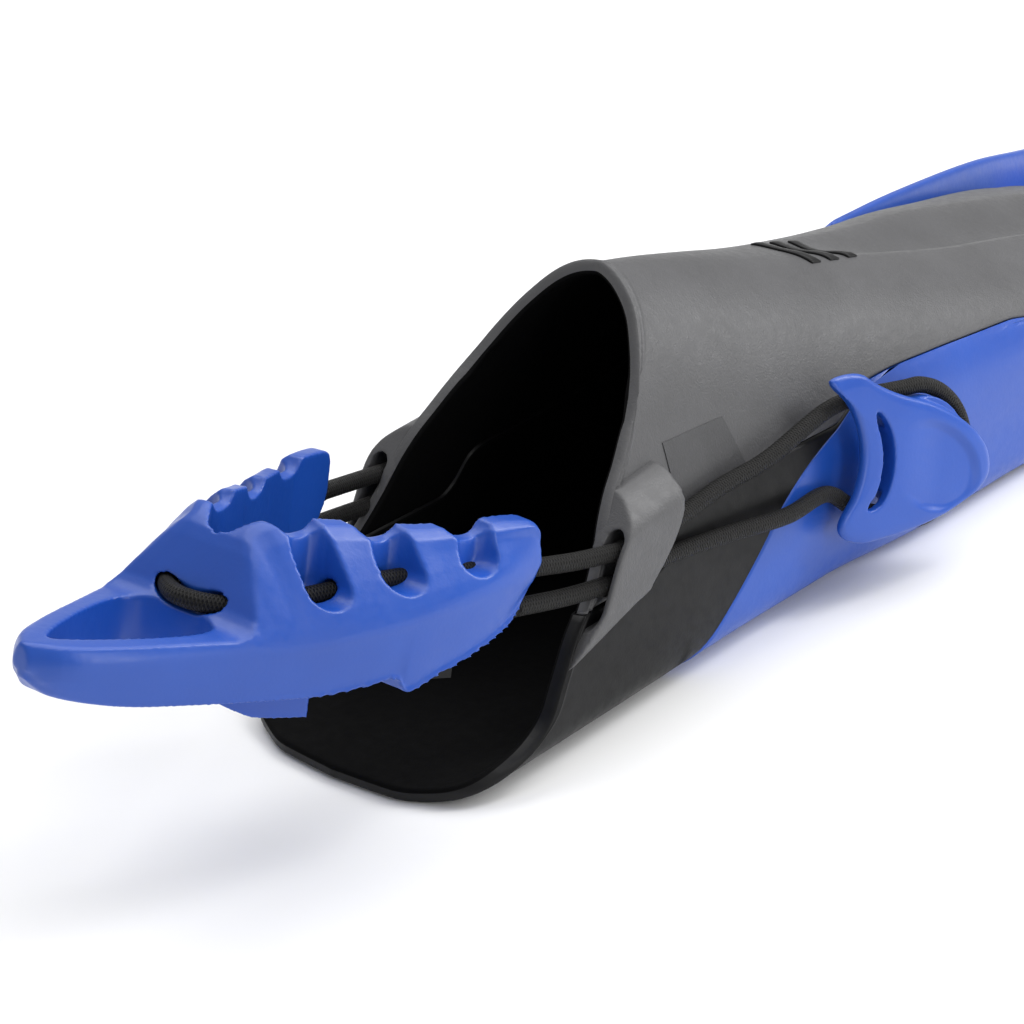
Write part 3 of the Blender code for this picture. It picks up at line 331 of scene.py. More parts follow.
def front_cord_route():
    """Cord from the guide's upper side to the clip, round its hub and back to the guide's lower side."""
    depth = LOOP_DEPTH
    upper = [(SLOT_X, 69.5, 57.8), (SLOT_X, 84, 57.6), (SLOT_X + 0.2, 102, 57.4)]
    upper += [(skin_x(125, 59) + 4.2, 125, 59), (skin_x(148, 60.6) + 5.6, 148, 60.6)]
    lower = [(54.3, 150, 41.5), (50.6, 124, 44.4), (SLOT_X + 0.6, 100, 46.6), (SLOT_X, 84, 47.6),
             (SLOT_X, 65.5, 48.6)]
    loop = [on_clip(-19, 14.2, depth - 0.5), on_clip(-4, 19.6, depth)]
    for k in range(13):
        a = math.radians(112 - 224 * k / 12)
        loop.append(on_clip(HUB[0] + LOOP_RADIUS * math.cos(a), HUB[1] + LOOP_RADIUS * math.sin(a), depth))
    loop += [on_clip(-2, -16.5, depth - 0.3), on_clip(-15, -12.5, depth - 1.2)]
    return upper + [tuple(p) for p in loop] + lower


def strap_point(x, station, height):
    """Point of the heel strap: x, distance behind the guides' hinge line, and height over the strap line."""
    tilt = math.radians(STRAP_TILT)
    y = HINGE[0] - station * math.cos(tilt) + height * math.sin(tilt)
    z = HINGE[1] + station * math.sin(tilt) + height * math.cos(tilt)
    return np.array([x, y, z])


def pad_cord(points):
    right = [strap_point(*p) for p in points]
    left = [mirrored(p) for p in right[-2::-1]]
    return smooth_path(right + left, 7.0)


def both_sides(half):
    """Closed plan outline from its right half, given from one end of the middle line to the other."""
    right = [(s, x) for s, x in half]
    left = [(s, -x) for s, x in half[::-1] if abs(x) > 1e-6]
    return right + left

# --- mesh helpers ------------------------------------------------------------------------------


def to_frame(points):
    """Points in millimetres from the heel, as metres in the frame."""
    return (np.asarray(points, float) - [0, Y_SHIFT, 0]) * MM


def mesh_object(name, vertices, faces, smooth=True):
    mesh = bpy.data.meshes.new(name)
    mesh.from_pydata([tuple(v) for v in to_frame(vertices)], [], faces)
    bm = bmesh.new()
    bm.from_mesh(mesh)
    bmesh.ops.recalc_face_normals(bm, faces=bm.faces)
    bm.to_mesh(mesh)
    bm.free()
    mesh.shade_smooth() if smooth else mesh.shade_flat()
    obj = bpy.data.objects.new(name, mesh)
    bpy.context.scene.collection.objects.link(obj)
    return obj


def between_sheets(name, outer, inner):
    """Closed body between two grids; its faces are marked 0 outside, 1 inside and 2 on the rims."""
    rows, cols = outer.shape[:2]
    vertices = np.vstack([outer.reshape(-1, 3), inner.reshape(-1, 3)])
    base = rows * cols
    faces, marks = [], []
    for i in range(rows - 1):
        for j in range(cols - 1):
            a, b, c, d = i * cols + j, (i + 1) * cols + j, (i + 1) * cols + j + 1, i * cols + j + 1
            faces += [(a, b, c, d), (base + a, base + d, base + c, base + b)]
            marks += [0, 1]
    for i in range(rows - 1):
        for j in (0, cols - 1):
            a, b = i * cols + j, (i + 1) * cols + j
            faces.append((a, base + a, base + b, b))
            marks.append(2)
    for j in range(cols - 1):
        for i in (0, rows - 1):
            a, b = i * cols + j, i * cols + j + 1
            faces.append((a, b, base + b, base + a))
            marks.append(2)
    obj = mesh_object(name, vertices, faces)
    obj.data.polygons.foreach_set("material_index", marks)
    return obj


def crease_by_angle(obj, degrees):
    """Sharp edges where faces meet at more than an angle."""
    obj.data.set_sharp_from_angle(angle=math.radians(degrees))


def stacked_rings(name, rings):
    rings = np.asarray(rings, float)
    count, size = rings.shape[:2]
    faces = [tuple(range(size)), tuple(range((count - 1) * size, count * size))]
    for i in range(count - 1):
        for j in range(size):
            k = (j + 1) % size
            faces.append((i * size + j, i * size + k, (i + 1) * size + k, (i + 1) * size + j))
    obj = mesh_object(name, rings.reshape(-1, 3), faces)
    bm = bmesh.new()
    bm.from_mesh(obj.data)
    bmesh.ops.triangulate(bm, faces=[f for f in bm.faces if len(f.verts) > 4], ngon_method="EAR_CLIP")
    bm.to_mesh(obj.data)
    bm.free()
    return obj


def sweep(name, points, radius, around=16):
    """Round cord along points, with its length and turn stored for the braid."""
    pts = np.asarray(points, float)
    tangent = np.gradient(pts, axis=0)
    tangent /= np.linalg.norm(tangent, axis=1, keepdims=True)
    run = np.concatenate([[0], np.cumsum(np.linalg.norm(np.diff(pts, axis=0), axis=1))])
    side = np.cross(tangent[0], [0, 0, 1.0])
    if np.linalg.norm(side) < 0.1:
        side = np.cross(tangent[0], [1.0, 0, 0])
    vertices, coords = [], []
    for i, (p, t) in enumerate(zip(pts, tangent)):
        side = side - t * np.dot(side, t)
        side /= np.linalg.norm(side)
        up = np.cross(t, side)
        for k in range(around):
            a = 2 * math.pi * k / around
            vertices.append(p + radius * (math.cos(a) * side + math.sin(a) * up))
            coords.append((math.cos(a), math.sin(a), run[i]))
    faces = [tuple(range(around)), tuple(range((len(pts) - 1) * around, len(pts) * around))]
    for i in range(len(pts) - 1):
        for j in range(around):
            k = (j + 1) % around
            faces.append((i * around + j, i * around + k, (i + 1) * around + k, (i + 1) * around + j))
    obj = mesh_object(name, vertices, faces)
    attribute = obj.data.attributes.new("along", "FLOAT_VECTOR", "POINT")
    attribute.data.foreach_set("vector", np.array(coords, np.float32).ravel())
    return obj


def combine(target, tool, operation):
    mod = target.modifiers.new("cut", "BOOLEAN")
    mod.operation = operation
    mod.solver = "EXACT"
    mod.object = tool
    bake(target)
    bpy.data.objects.remove(tool)
    return target


def bake(obj):
    """Apply an object's modifiers to its mesh."""
    bpy.context.view_layer.update()
    graph = bpy.context.evaluated_depsgraph_get()
    mesh = bpy.data.meshes.new_from_object(obj.evaluated_get(graph))
    obj.modifiers.clear()
    obj.data = mesh
    return obj


def moulded(obj, voxel, rounds, factor=0.5):
    """Even remesh in millimetres, then rounded edges, as on a moulded part."""
    mod = obj.modifiers.new("remesh", "REMESH")
    mod.mode = "VOXEL"
    mod.voxel_size = voxel * MM
    mod.use_smooth_shade = True
    soften = obj.modifiers.new("soften", "SMOOTH")
    soften.factor = factor
    soften.iterations = rounds
    bake(obj)
    obj.data.shade_smooth()
    return obj


# --- materials ---------------------------------------------------------------------------------


class Surface:
    """A Principled material and short calls for its procedural nodes."""

    def __init__(self, name, color, roughness):
        self.material = bpy.data.materials.new(name)
        self.material.use_nodes = True
        self.tree = self.material.node_tree
        self.shader = self.tree.nodes["Principled BSDF"]
        self.shader.inputs["Base Color"].default_value = (*color, 1)
        self.shader.inputs["Roughness"].default_value = roughness
        self.bump_chain = None
        self.place = self.node("ShaderNodeTexCoord").outputs["Object"]

    def node(self, kind, **values):
        made = self.tree.nodes.new(kind)
        for key, value in values.items():
            setattr(made, key, value)
        return made

    def link(self, a, b):
        self.tree.links.new(a, b)

    def noise(self, scale, detail=3.0, rough=0.5, source=None):
        made = self.node("ShaderNodeTexNoise")
        made.inputs["Scale"].default_value = scale
        made.inputs["Detail"].default_value = detail
        made.inputs["Roughness"].default_value = rough
        self.link(source or self.place, made.inputs["Vector"])
        return made.outputs["Fac"]

    def spread(self, fac, low, high):
        made = self.node("ShaderNodeMapRange")
        made.inputs["From Min"].default_value = 0.3
        made.inputs["From Max"].default_value = 0.7
        made.inputs["To Min"].default_value = low
        made.inputs["To Max"].default_value = high
        self.link(fac, made.inputs["Value"])
        return made.outputs["Result"]

    def two_tone(self, fac, first, second):
        made = self.node("ShaderNodeValToRGB")
        made.color_ramp.elements[0].position = 0.3
        made.color_ramp.elements[1].position = 0.7
        made.color_ramp.elements[0].color = (*first, 1)
        made.color_ramp.elements[1].color = (*second, 1)
        self.link(fac, made.inputs["Fac"])
        self.link(made.outputs["Color"], self.shader.inputs["Base Color"])

    def bump(self, height, distance, strength=1.0):
        made = self.node("ShaderNodeBump")
        made.inputs["Distance"].default_value = distance * MM
        made.inputs["Strength"].default_value = strength
        self.link(height, made.inputs["Height"])
        if self.bump_chain:
            self.link(self.bump_chain, made.inputs["Normal"])
        self.bump_chain = made.outputs["Normal"]
        self.link(self.bump_chain, self.shader.inputs["Normal"])

    def rough(self, fac, low, high):
        self.link(self.spread(fac, low, high), self.shader.inputs["Roughness"])


def rubber(name, dark, light, rough_range, grain, specular=0.5):
    """Moulded thermoplastic rubber: cloudy tone, fine spark-eroded grain and a few faint scuffs."""
    s = Surface(name, light, rough_range[0])
    s.two_tone(s.noise(38, 4, 0.6), dark, light)
    s.rough(s.noise(260, 3, 0.6), *rough_range)
    s.bump(s.noise(1500, 2, 0.6), grain)
    s.bump(s.noise(420, 3, 0.55), grain * 1.6, 0.6)
    s.shader.inputs["Specular IOR Level"].default_value = specular
    return s.material


def polymer(name, dark, light):
    """Satin moulded technopolymer: slight tone drift, soft gloss and a faint moulded texture."""
    s = Surface(name, light, 0.34)
    s.two_tone(s.noise(22, 3, 0.5), dark, light)
    s.rough(s.noise(340, 3, 0.6), 0.30, 0.42)
    s.bump(s.noise(900, 2, 0.5), 0.035)
    s.bump(s.noise(130, 2, 0.5), 0.10, 0.5)
    s.shader.inputs["Coat Weight"].default_value = 0.12
    s.shader.inputs["Coat Roughness"].default_value = 0.22
    s.shader.inputs["Subsurface Weight"].default_value = 0.04
    s.shader.inputs["Subsurface Scale"].default_value = 0.002
    return s.material


BRAID_STARTS = 7.0
BRAID_PITCH = 1.05  # millimetres from one rib to the next along the cord


def braid(name):
    """Braided bungee: two crossing families of fine ribs round the cord, with painted shade in the grooves
    between them.
    """
    s = Surface(name, (0.008, 0.008, 0.009), 0.6)
    along = s.node("ShaderNodeAttribute", attribute_name="along").outputs["Vector"]
    split = s.node("ShaderNodeSeparateXYZ")
    s.link(along, split.inputs["Vector"])
    turn = s.node("ShaderNodeMath", operation="ARCTAN2")
    s.link(split.outputs["Y"], turn.inputs[0])
    s.link(split.outputs["X"], turn.inputs[1])
    waves = []
    for hand in (1, -1):
        lead = s.node("ShaderNodeMath", operation="MULTIPLY")
        lead.inputs[1].default_value = hand * BRAID_STARTS
        s.link(turn.outputs[0], lead.inputs[0])
        step = s.node("ShaderNodeMath", operation="MULTIPLY_ADD")
        step.inputs[1].default_value = 2 * math.pi / BRAID_PITCH
        s.link(split.outputs["Z"], step.inputs[0])
        s.link(lead.outputs[0], step.inputs[2])
        wave = s.node("ShaderNodeMath", operation="SINE")
        s.link(step.outputs[0], wave.inputs[0])
        waves.append(wave.outputs[0])
    both = s.node("ShaderNodeMath", operation="MAXIMUM")
    s.link(waves[0], both.inputs[0])
    s.link(waves[1], both.inputs[1])
    # Painted shade: colour runs from near-black in the rib valleys to a lighter tone on the rib crests, on
    # top of the bump.
    groove_shade = s.node("ShaderNodeMapRange")
    groove_shade.inputs["From Min"].default_value = -0.4
    s.link(both.outputs[0], groove_shade.inputs["Value"])
    tone = s.node("ShaderNodeValToRGB")
    tone.color_ramp.elements[0].color = (0.0008, 0.0008, 0.0008, 1)
    tone.color_ramp.elements[1].color = (0.012, 0.0115, 0.011, 1)
    s.link(groove_shade.outputs["Result"], tone.inputs["Fac"])
    s.link(tone.outputs["Color"], s.shader.inputs["Base Color"])
    s.bump(both.outputs[0], 0.22)
    s.rough(s.noise(900, 2), 0.45, 0.7)
    s.shader.inputs["Specular IOR Level"].default_value = 0.3
    return s.material


GREY = rubber("grey_rubber_fine", (0.068, 0.068, 0.071), (0.082, 0.082, 0.086), (0.36, 0.50), 0.13)
PATCH = rubber("grey_rubber_patch", (0.046, 0.046, 0.049), (0.058, 0.058, 0.061), (0.40, 0.54), 0.13)
BLACK = rubber("black_rubber_fine", (0.0035, 0.0035, 0.004), (0.007, 0.007, 0.0075), (0.34, 0.48), 0.03, 0.22)
# Painted shade: the inner faces of the grey upper and the black sole get this near-black, matte colour so the
# pocket's inside reads dark.
INSIDE_SHADE = rubber("pocket_inside_painted_shade", (0.0012, 0.0012, 0.0014), (0.002, 0.002, 0.0022), (0.75, 0.85), 0.05, 0.08)
STRIP = rubber("channel_rubber_fine", (0.035, 0.035, 0.038), (0.055, 0.055, 0.06), (0.45, 0.6), 0.05)
BLUE = polymer("blue_polymer_fine", (0.009, 0.066, 0.385), (0.012, 0.080, 0.44))
CORD = braid("bungee_braid_fine")


def place(obj, body, slot, nodes, *materials):
    """Give a piece its materials and body, and hide the nodes it stands for; slot is not used."""
    marks = np.zeros(len(obj.data.polygons), np.int32)
    obj.data.polygons.foreach_get("material_index", marks)
    obj.data.materials.clear()
    for material in materials:
        obj.data.materials.append(material)
    obj.data.polygons.foreach_set("material_index", np.minimum(marks, len(materials) - 1))
    if body:
        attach(obj, body)
    if nodes:
        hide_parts(*nodes)
    return obj


# --- foot pocket -------------------------------------------------------------------------------

LIP_ROUND = 1.5
SECOND_BEAD = 0.8


def rim_rows(length, count):
    """Distances from the rim: half-millimetre steps over the bead, then even ones."""
    near = np.array([0, 0.15, 0.4, 0.75, 1.15, 1.6, 2.1, 2.6, 3.1, 3.6, 4.1, 4.6, 5.1, 5.6, 6.2, 7.0])
    return np.concatenate([near, 7.0 + (length - 7.0) * np.linspace(0, 1, count)[1:] ** 1.12])


def rim_bead(distance):
    """Raised lip round the opening with a second, lower line behind it."""
    lip = RIM_BEAD * np.exp(-(((distance - 1.0) / 1.0) ** 2))
    second = SECOND_BEAD * np.exp(-(((distance - 3.8) / 0.9) ** 2))
    return lip + second


def lip_inset(distance):
    t = np.clip(1 - distance / LIP_ROUND, 0, 1)
    return LIP_ROUND * (1 - np.sqrt(np.clip(1 - t * t, 0, 1)))


def pocket_sheets(cols, rows, upper):
    """Fine outer and inner sheets of the grey upper or the black sole."""
    shares = np.linspace(0, 1, cols)
    if not upper:
        shares = shares**0.8
    seam_gap = np.degrees(FINE_SEAM / 50) * (1 if upper else -1)
    count = len(rim_rows(100.0, rows))
    grid = np.zeros((count, 2 * cols - 1, 3))
    distance = np.zeros((count, 2 * cols - 1))
    for j, u in enumerate(shares):
        y_rim = 80.0 if upper else 60.0
        for _ in range(60):
            edge = seam_direction(np.array([y_rim]))[0] + seam_gap
            angle = edge + (90 - edge) * u if upper else -90 + (edge + 90) * u
            y_rim = 0.5 * y_rim + 0.5 * profile(RIM, angle)
        end = TONGUE_END + TONGUE_NOSE * u if upper else SOLE_END
        steps = rim_rows(float(end - y_rim), rows)
        y = y_rim + steps
        edge = seam_direction(y) + seam_gap
        angle = edge + (90 - edge) * u if upper else -90 + (edge + 90) * u
        x, z = hull(angle, y)
        right, left = (2 * cols - 2 - j, j) if upper else (cols - 1 + j, cols - 1 - j)
        grid[:, right] = np.stack([x, y, z], 1)
        grid[:, left] = np.stack([-x, y, z], 1)
        distance[:, right] = steps
        distance[:, left] = steps
    normal = surface_normals(grid, profile(WAIST, grid[:, :, 1]))
    normal[:7] = normal[7]
    inset = lip_inset(distance)
    if upper:
        wall = UPPER_WALL - TONGUE_THINNING * smoothstep(430, 476, grid[:, :, 1])
        lip = rim_bead(distance)
    else:
        wall = np.full(distance.shape, SOLE_WALL)
        lip = rim_bead(distance) * smoothstep(3, 12, grid[:, :, 2])
    end_fade = lip_inset(grid[-1:, :, 1] - grid[:, :, 1])
    inset = np.maximum(inset, np.minimum(end_fade, 1.2))
    outer = grid + normal * (lip - inset)[:, :, None]
    outer[:, :, 2] = np.maximum(outer[:, :, 2], 0)
    inner = grid - normal * (wall - inset * 0.9)[:, :, None]
    return outer, inner


FINE_SEAM = 0.18


def fine_levels(levels, count):
    """Guide levels resampled on a smooth curve: rear y and z, front y and z, bulge."""
    flat = np.array([(*rear, *front, bulge) for rear, front, bulge in levels])
    t = np.linspace(0, len(flat) - 1, count)
    return np.stack([profile(list(zip(range(len(flat)), flat[:, k])), t) for k in range(5)], 1)


def guide(side):
    """Flared strap guide with its upright slot, softened where it runs into the pocket."""
    levels = list(GUIDE_LOWER[::-1]) + list(GUIDE_UPPER)
    face, back = [], []
    for share in np.linspace(0, 1, 12):
        face_row, back_row = [], []
        for rear_y, rear_z, front_y, front_z, bulge in fine_levels(levels, 40):
            y = rear_y + (front_y - rear_y) * share
            z = rear_z + (front_z - rear_z) * share
            skin = skin_x(y, z)
            face_row.append((side * (skin + (GUIDE_FACE_X + 0.7 - skin) * max(bulge, 0) ** 0.5), y, z))
            back_row.append((side * (skin - 2.4), y, z))
        face.append(face_row)
        back.append(back_row)
    block = between_sheets("guide", np.array(face), np.array(back))
    half = GUIDE_SLOT_WIDTH / 2
    low, high = GUIDE_SLOT[0], GUIDE_SLOT[1] - 2.5
    outline = []
    for start, middle in ((0, high - half), (math.pi, low + half)):
        for k in range(13):
            a = start + math.pi * k / 12
            outline.append((half * math.cos(a), middle + half * math.sin(a)))
    rings = [[(side * (SLOT_X + x), y + (z - HINGE[1]) * 0.4, z) for x, z in outline] for y in (36.0, 116.0)]
    combine(block, stacked_rings("slot", rings), "DIFFERENCE")
    return moulded(block, 0.5, 12)


PATCH_CORNERS = ((108.0, 77.5), (138.5, 75.5), (108.0, 58.0), (144.0, 57.0))  # y and z on the pocket's side


def side_patch(side):
    """Low rectangular patch moulded on the pocket's side, ahead of the guide."""
    corners = np.array(PATCH_CORNERS)
    sheets = []
    for lift in (0.3, -1.0):
        rows = []
        for v in np.linspace(0, 1, 28):
            rear = corners[0] + (corners[2] - corners[0]) * v
            front = corners[1] + (corners[3] - corners[1]) * v
            line = [rear + (front - rear) * u for u in np.linspace(0, 1, 28)]
            rows.append([(side * (skin_x(y, z) + lift), y, z) for y, z in line])
        sheets.append(np.array(rows, float).reshape(28, 28, 3))
    patch = between_sheets("side_patch", *sheets)
    crease_by_angle(patch, 40)
    return patch


# Both pocket pieces take the painted-shade colour on their inner faces (mark 1).
outer, inner = pocket_sheets(70, 150, True)
upper = between_sheets("fine_pocket_upper", outer, inner)
place(upper, "fin", "grey_rubber", ["foot_pocket_upper"], GREY, INSIDE_SHADE, GREY)
outer, inner = pocket_sheets(60, 110, False)
sole = between_sheets("fine_pocket_sole", outer, inner)
place(sole, "fin", "black_rubber", ["foot_pocket_sole"], BLACK, INSIDE_SHADE, BLACK)
for side, word in ((1, "right"), (-1, "left")):
    piece = guide(side)
    piece.name = "fine_guide_" + word
    place(piece, "fin", "grey_rubber", [], GREY)
    patch = side_patch(side)
    patch.name = "fine_side_patch_" + word
    place(patch, "fin", "grey_rubber", [], PATCH)


# --- blade -------------------------------------------------------------------------------------


def rail_sheets(cols, rows):
    """Outer and inner sheet of the right rail, from its slanted rear end to the tip."""
    patch = np.zeros((rows, cols, 3))
    for j, u in enumerate(np.linspace(0, 1, cols)):
        y_end = 130.0
        for _ in range(60):
            top = direction_at(np.array([y_end]), height=profile(SEAM, y_end) - FINE_SEAM)[0]
            foot = profile(ARM_FOOT, y_end)
            angle = foot + (top - foot) * u
            height = hull(np.array([angle]), np.array([y_end]))[1][0]
            y_end = 0.5 * y_end + 0.5 * profile(ARM_END, height)
        y = y_end + (TIP - y_end) * np.linspace(0, 1, rows)
        top = seam_direction(y) - np.degrees(FINE_SEAM / 50)
        top = top + smoothstep(335, 360, y) * np.degrees(3.0 / 60)
        foot = profile(ARM_FOOT, y)
        angle = foot + (top - foot) * u
        x, z = hull(angle, y)
        patch[:, j, :] = np.stack([x, y, z], 1)
    normal = surface_normals(patch, profile(WAIST, patch[:, :, 1]))
    y = patch[:, :, 1]
    u = np.broadcast_to(np.linspace(0, 1, cols), (rows, cols))
    thick = profile(RAIL_WALL, y)
    foot, top = profile(RAIL_FOOT, y), profile(RAIL_TOP, y)
    z_bar = foot + (top - foot) * (0.5 - 0.5 * np.cos(np.pi * u))
    lean = RAIL_DRAFT * (1 - (z_bar - foot) / (top - foot))
    middle = profile(HALF_WIDTH, y) - thick / 2 - lean
    bulge = (thick / 2) * np.clip(np.sin(np.pi * u), 0.02, 1) ** 0.5
    bar_out = np.stack([middle + bulge, y, z_bar], 2)
    bar_in = np.stack([middle - bulge, y, z_bar], 2)
    share = smoothstep(306, 350, y)[:, :, None]
    end = y - y[:1]
    proud = 0.35 - lip_inset(end * 1.6) * 0.6
    outer = (patch + normal * proud[:, :, None]) * (1 - share) + bar_out * share
    inner = (patch - normal * ARM_INLAY) * (1 - share) + bar_in * share
    return outer, inner


def panel_sheets(cols, rows):
    u = np.linspace(-1, 1, cols)
    grid = np.zeros((rows, cols, 3))
    for i, t in enumerate(np.linspace(0, 1, rows)):
        end = TIP - 1.5 - TIP_DIP * (1 - u**2)
        y = PANEL_START + (end - PANEL_START) * t
        x = u * (profile(HALF_WIDTH, y) - 4.6)
        grid[i] = np.stack([x, y, hull_height(x, y) - PANEL_DROP], 1)
    return grid, grid - np.array([0, 0, PANEL_WALL])


CHANNELS = (
    ("center", 0.0, (9, 13), 532, 604),
    ("right", 0.54, (7, 10), 524, 606),
    ("left", -0.54, (7, 10), 524, 606),
)


def channel_outline(center, width, start, end):
    points = []
    for a0, reach, mid in ((0, width[1], end), (math.pi, width[0], start)):
        for k in range(17):
            a = a0 + math.pi * k / 16
            x, y = reach * math.cos(a), mid + reach * math.sin(a) * 0.8
            points.append((center * float(profile(HALF_WIDTH, y)) + x, y))
    return points


def channel_strip(center, width, start, end):
    cols, rows = 25, 50
    grid = np.zeros((rows, cols, 3))
    for i, t in enumerate(np.linspace(0, 1, rows)):
        for j, u in enumerate(np.linspace(-1, 1, cols)):
            round_end = math.sqrt(max(1 - u * u, 0))
            y = start - 0.8 * width[0] * round_end
            y += (end + 0.8 * width[1] * round_end - y) * t
            grow = np.clip((y - start) / (end - start), 0, 1)
            x = center * profile(HALF_WIDTH, y) + (width[0] + (width[1] - width[0]) * grow) * u
            length = end + 0.8 * width[1] - (start - 0.8 * width[0])
            arch = math.sin(math.pi * min(max((y - start + 4) / length, 0.0), 1.0)) ** 0.5
            sag = 2.6 * (1 - u * u) * arch
            grid[i, j] = (x, y, hull_height(x, y) - PANEL_DROP - 0.2 - sag)
    return grid, grid - np.array([0, 0, 2.2])


outer, inner = rail_sheets(44, 300)
for side, word in ((1, "right"), (-1, "left")):
    turn = mirrored if side < 0 else np.asarray
    rail = between_sheets("fine_rail_" + word, turn(outer), turn(inner))
    crease_by_angle(rail, 50)
    place(rail, "fin", "blue_polymer", ["blade_frame"] if side > 0 else [], BLUE)
panel = between_sheets("fine_blade_panel", *panel_sheets(81, 60))
for word, *shape in CHANNELS:
    rings = [[(x, y, z) for x, y in channel_outline(*shape)] for z in (-5.0, 60.0)]
    combine(panel, stacked_rings("channel_cut", rings), "DIFFERENCE")
crease_by_angle(panel, 40)
place(panel, "fin", "blue_polymer", [], BLUE)
for word, *shape in CHANNELS:
    strip = between_sheets("fine_channel_" + word, *channel_strip(*shape))
    place(strip, "fin", "channel_rubber", ["blade_channel_" + word], STRIP)


# --- anchor clips ------------------------------------------------------------------------------


def clip_disc(name, center, radius, top, bottom, steps=72):
    rings = []
    for depth in (top, bottom):
        ring = []
        for k in range(steps):
            a = 2 * math.pi * k / steps
            ring.append(on_clip(center[0] + radius * math.cos(a), center[1] + radius * math.sin(a), depth))
        rings.append(ring)
    return stacked_rings(name, rings)


def clip_slot():
    line = smooth_path([(*p, 0) for p in CLIP_SLOT], 1.5)[:, :2]
    run = np.gradient(line, axis=0)
    run /= np.linalg.norm(run, axis=1, keepdims=True)
    aside = np.stack([run[:, 1], -run[:, 0]], 1)
    t = np.linspace(-1, 1, len(line))
    half = CLIP_SLOT_WIDTH / 2 * np.sqrt(np.clip(1 - np.abs(t) ** 3.5, 0.02, 1))
    outline = np.vstack([line + aside * half[:, None], (line - aside * half[:, None])[::-1]])
    return stacked_rings("clip_slot", [[on_clip(a, b, depth) for a, b in outline] for depth in (-8.0, 14.0)])


# Rounded edge of the clip: share of the outline and depth, from its back to its face.
CLIP_EDGE = (
    (0.955, 1.3), (0.99, 0.9), (1.0, 0.3), (1.0, -0.5), (0.985, -1.2), (0.95, -1.75), (0.86, -2.15),
    (0.6, -2.35),
)
DISH = (25.0, -1.0)  # middle of the finger dish in the clip's plane
DISH_RADII = (22.5, 15.5)
DISH_DEPTH = 1.5


def clip_body():
    outline = closed_outline(CLIP_OUTLINE, 6)
    middle = outline.mean(axis=0)
    rings = []
    for inset, depth in CLIP_EDGE:
        rings.append([on_clip(*(middle + (p - middle) * inset), depth) for p in outline])
    clip = stacked_rings("clip", rings)
    combine(clip, clip_disc("hub", HUB, HUB_RADIUS, 0.2, HUB_DEPTH + 1.1), "UNION")
    combine(clip, clip_disc("bore", HUB, POST_RADIUS + GAP, 0.9, 20), "DIFFERENCE")
    combine(clip, clip_slot(), "DIFFERENCE")
    moulded(clip, 0.5, 6)
    return dished(clip)


def dished(clip):
    """Press the finger dish into the clip's face: level inside, with a soft lip round it."""
    zero, along, across, deep = (np.array(on_clip(*p)) for p in ((0, 0, 0), (1, 0, 0), (0, 1, 0), (0, 0, 1)))
    axes = np.stack([along - zero, across - zero, deep - zero])
    count = len(clip.data.vertices)
    flat = np.zeros(count * 3)
    clip.data.vertices.foreach_get("co", flat)
    points = flat.reshape(-1, 3)
    a, b, depth = ((points - to_frame(zero)) / MM @ axes.T).T
    reach = np.hypot((a - DISH[0]) / DISH_RADII[0], (b - DISH[1] + 0.16 * (a - DISH[0])) / DISH_RADII[1])
    fall = 1 - smoothstep(0.78, 1.0, reach)
    press = DISH_DEPTH * fall * smoothstep(10, 30, a) * (1 - smoothstep(-1.2, 0.6, depth))
    points += (press[:, None] * axes[2]) * MM
    clip.data.vertices.foreach_set("co", points.ravel())
    clip.data.update()
    return clip


clip = clip_body()
for side, word in ((1, "right"), (-1, "left")):
    mesh = clip.data if side > 0 else clip.data.copy()
    if side < 0:
        mesh.transform(Matrix.Scale(-1, 4, (1, 0, 0)))
        mesh.flip_normals()
    piece = bpy.data.objects.new("fine_clip_" + word, mesh)
    bpy.context.scene.collection.objects.link(piece)
    place(piece, "anchor_clip_" + word, "blue_polymer", ["anchor_clip_" + word], BLUE)
    post = clip_disc("fine_post_" + word, HUB, POST_RADIUS, POST_TOP, POST_FOOT)
    if side < 0:
        post.data.transform(Matrix.Scale(-1, 4, (1, 0, 0)))
        post.data.flip_normals()
    crease_by_angle(post, 40)
    place(post, "fin", "blue_polymer", [], BLUE)
bpy.data.objects.remove(clip)


# --- heel pull ---------------------------------------------------------------------------------

PULL_TOP = (
    (30, 16), (31, 18.6), (34, 20.2), (40, 20.4), (67, 19.0), (90, 20.2), (104, 21.2), (110, 20.2),
    (116.5, 16.0), (121, 7), (126, -3), (131, -5), (183, -5.0),
)
PULL_FOOT = (
    (30, 6.5), (33, -0.5), (38, -7.5), (48, -13), (59, -17.5), (69, -21), (77, -24.2), (79, -24.2),
    (81, -20), (90, -21.5), (110, -23.5), (150, -23), (176, -19.5), (183, -14),
)
CUP_SHIFT = 1.3  # the cup's wall stands this much inside the plain section, over the buried cord
FINGER_LOOP = (
    (127, 0), (127.4, 9), (130.5, 15.6), (138, 16.6), (150, 13.2), (160, 9), (168, 5), (173, 1.6), (173.6, 0),
)


def strap_prism(name, outline, low, high):
    return stacked_rings(name, [[strap_point(x, s, h) for s, x in outline] for h in (low, high)])


def soft_outline(half, per_span):
    """Smooth closed plan outline through a symmetric set of (station, x) points."""
    return closed_outline(both_sides(half), per_span)


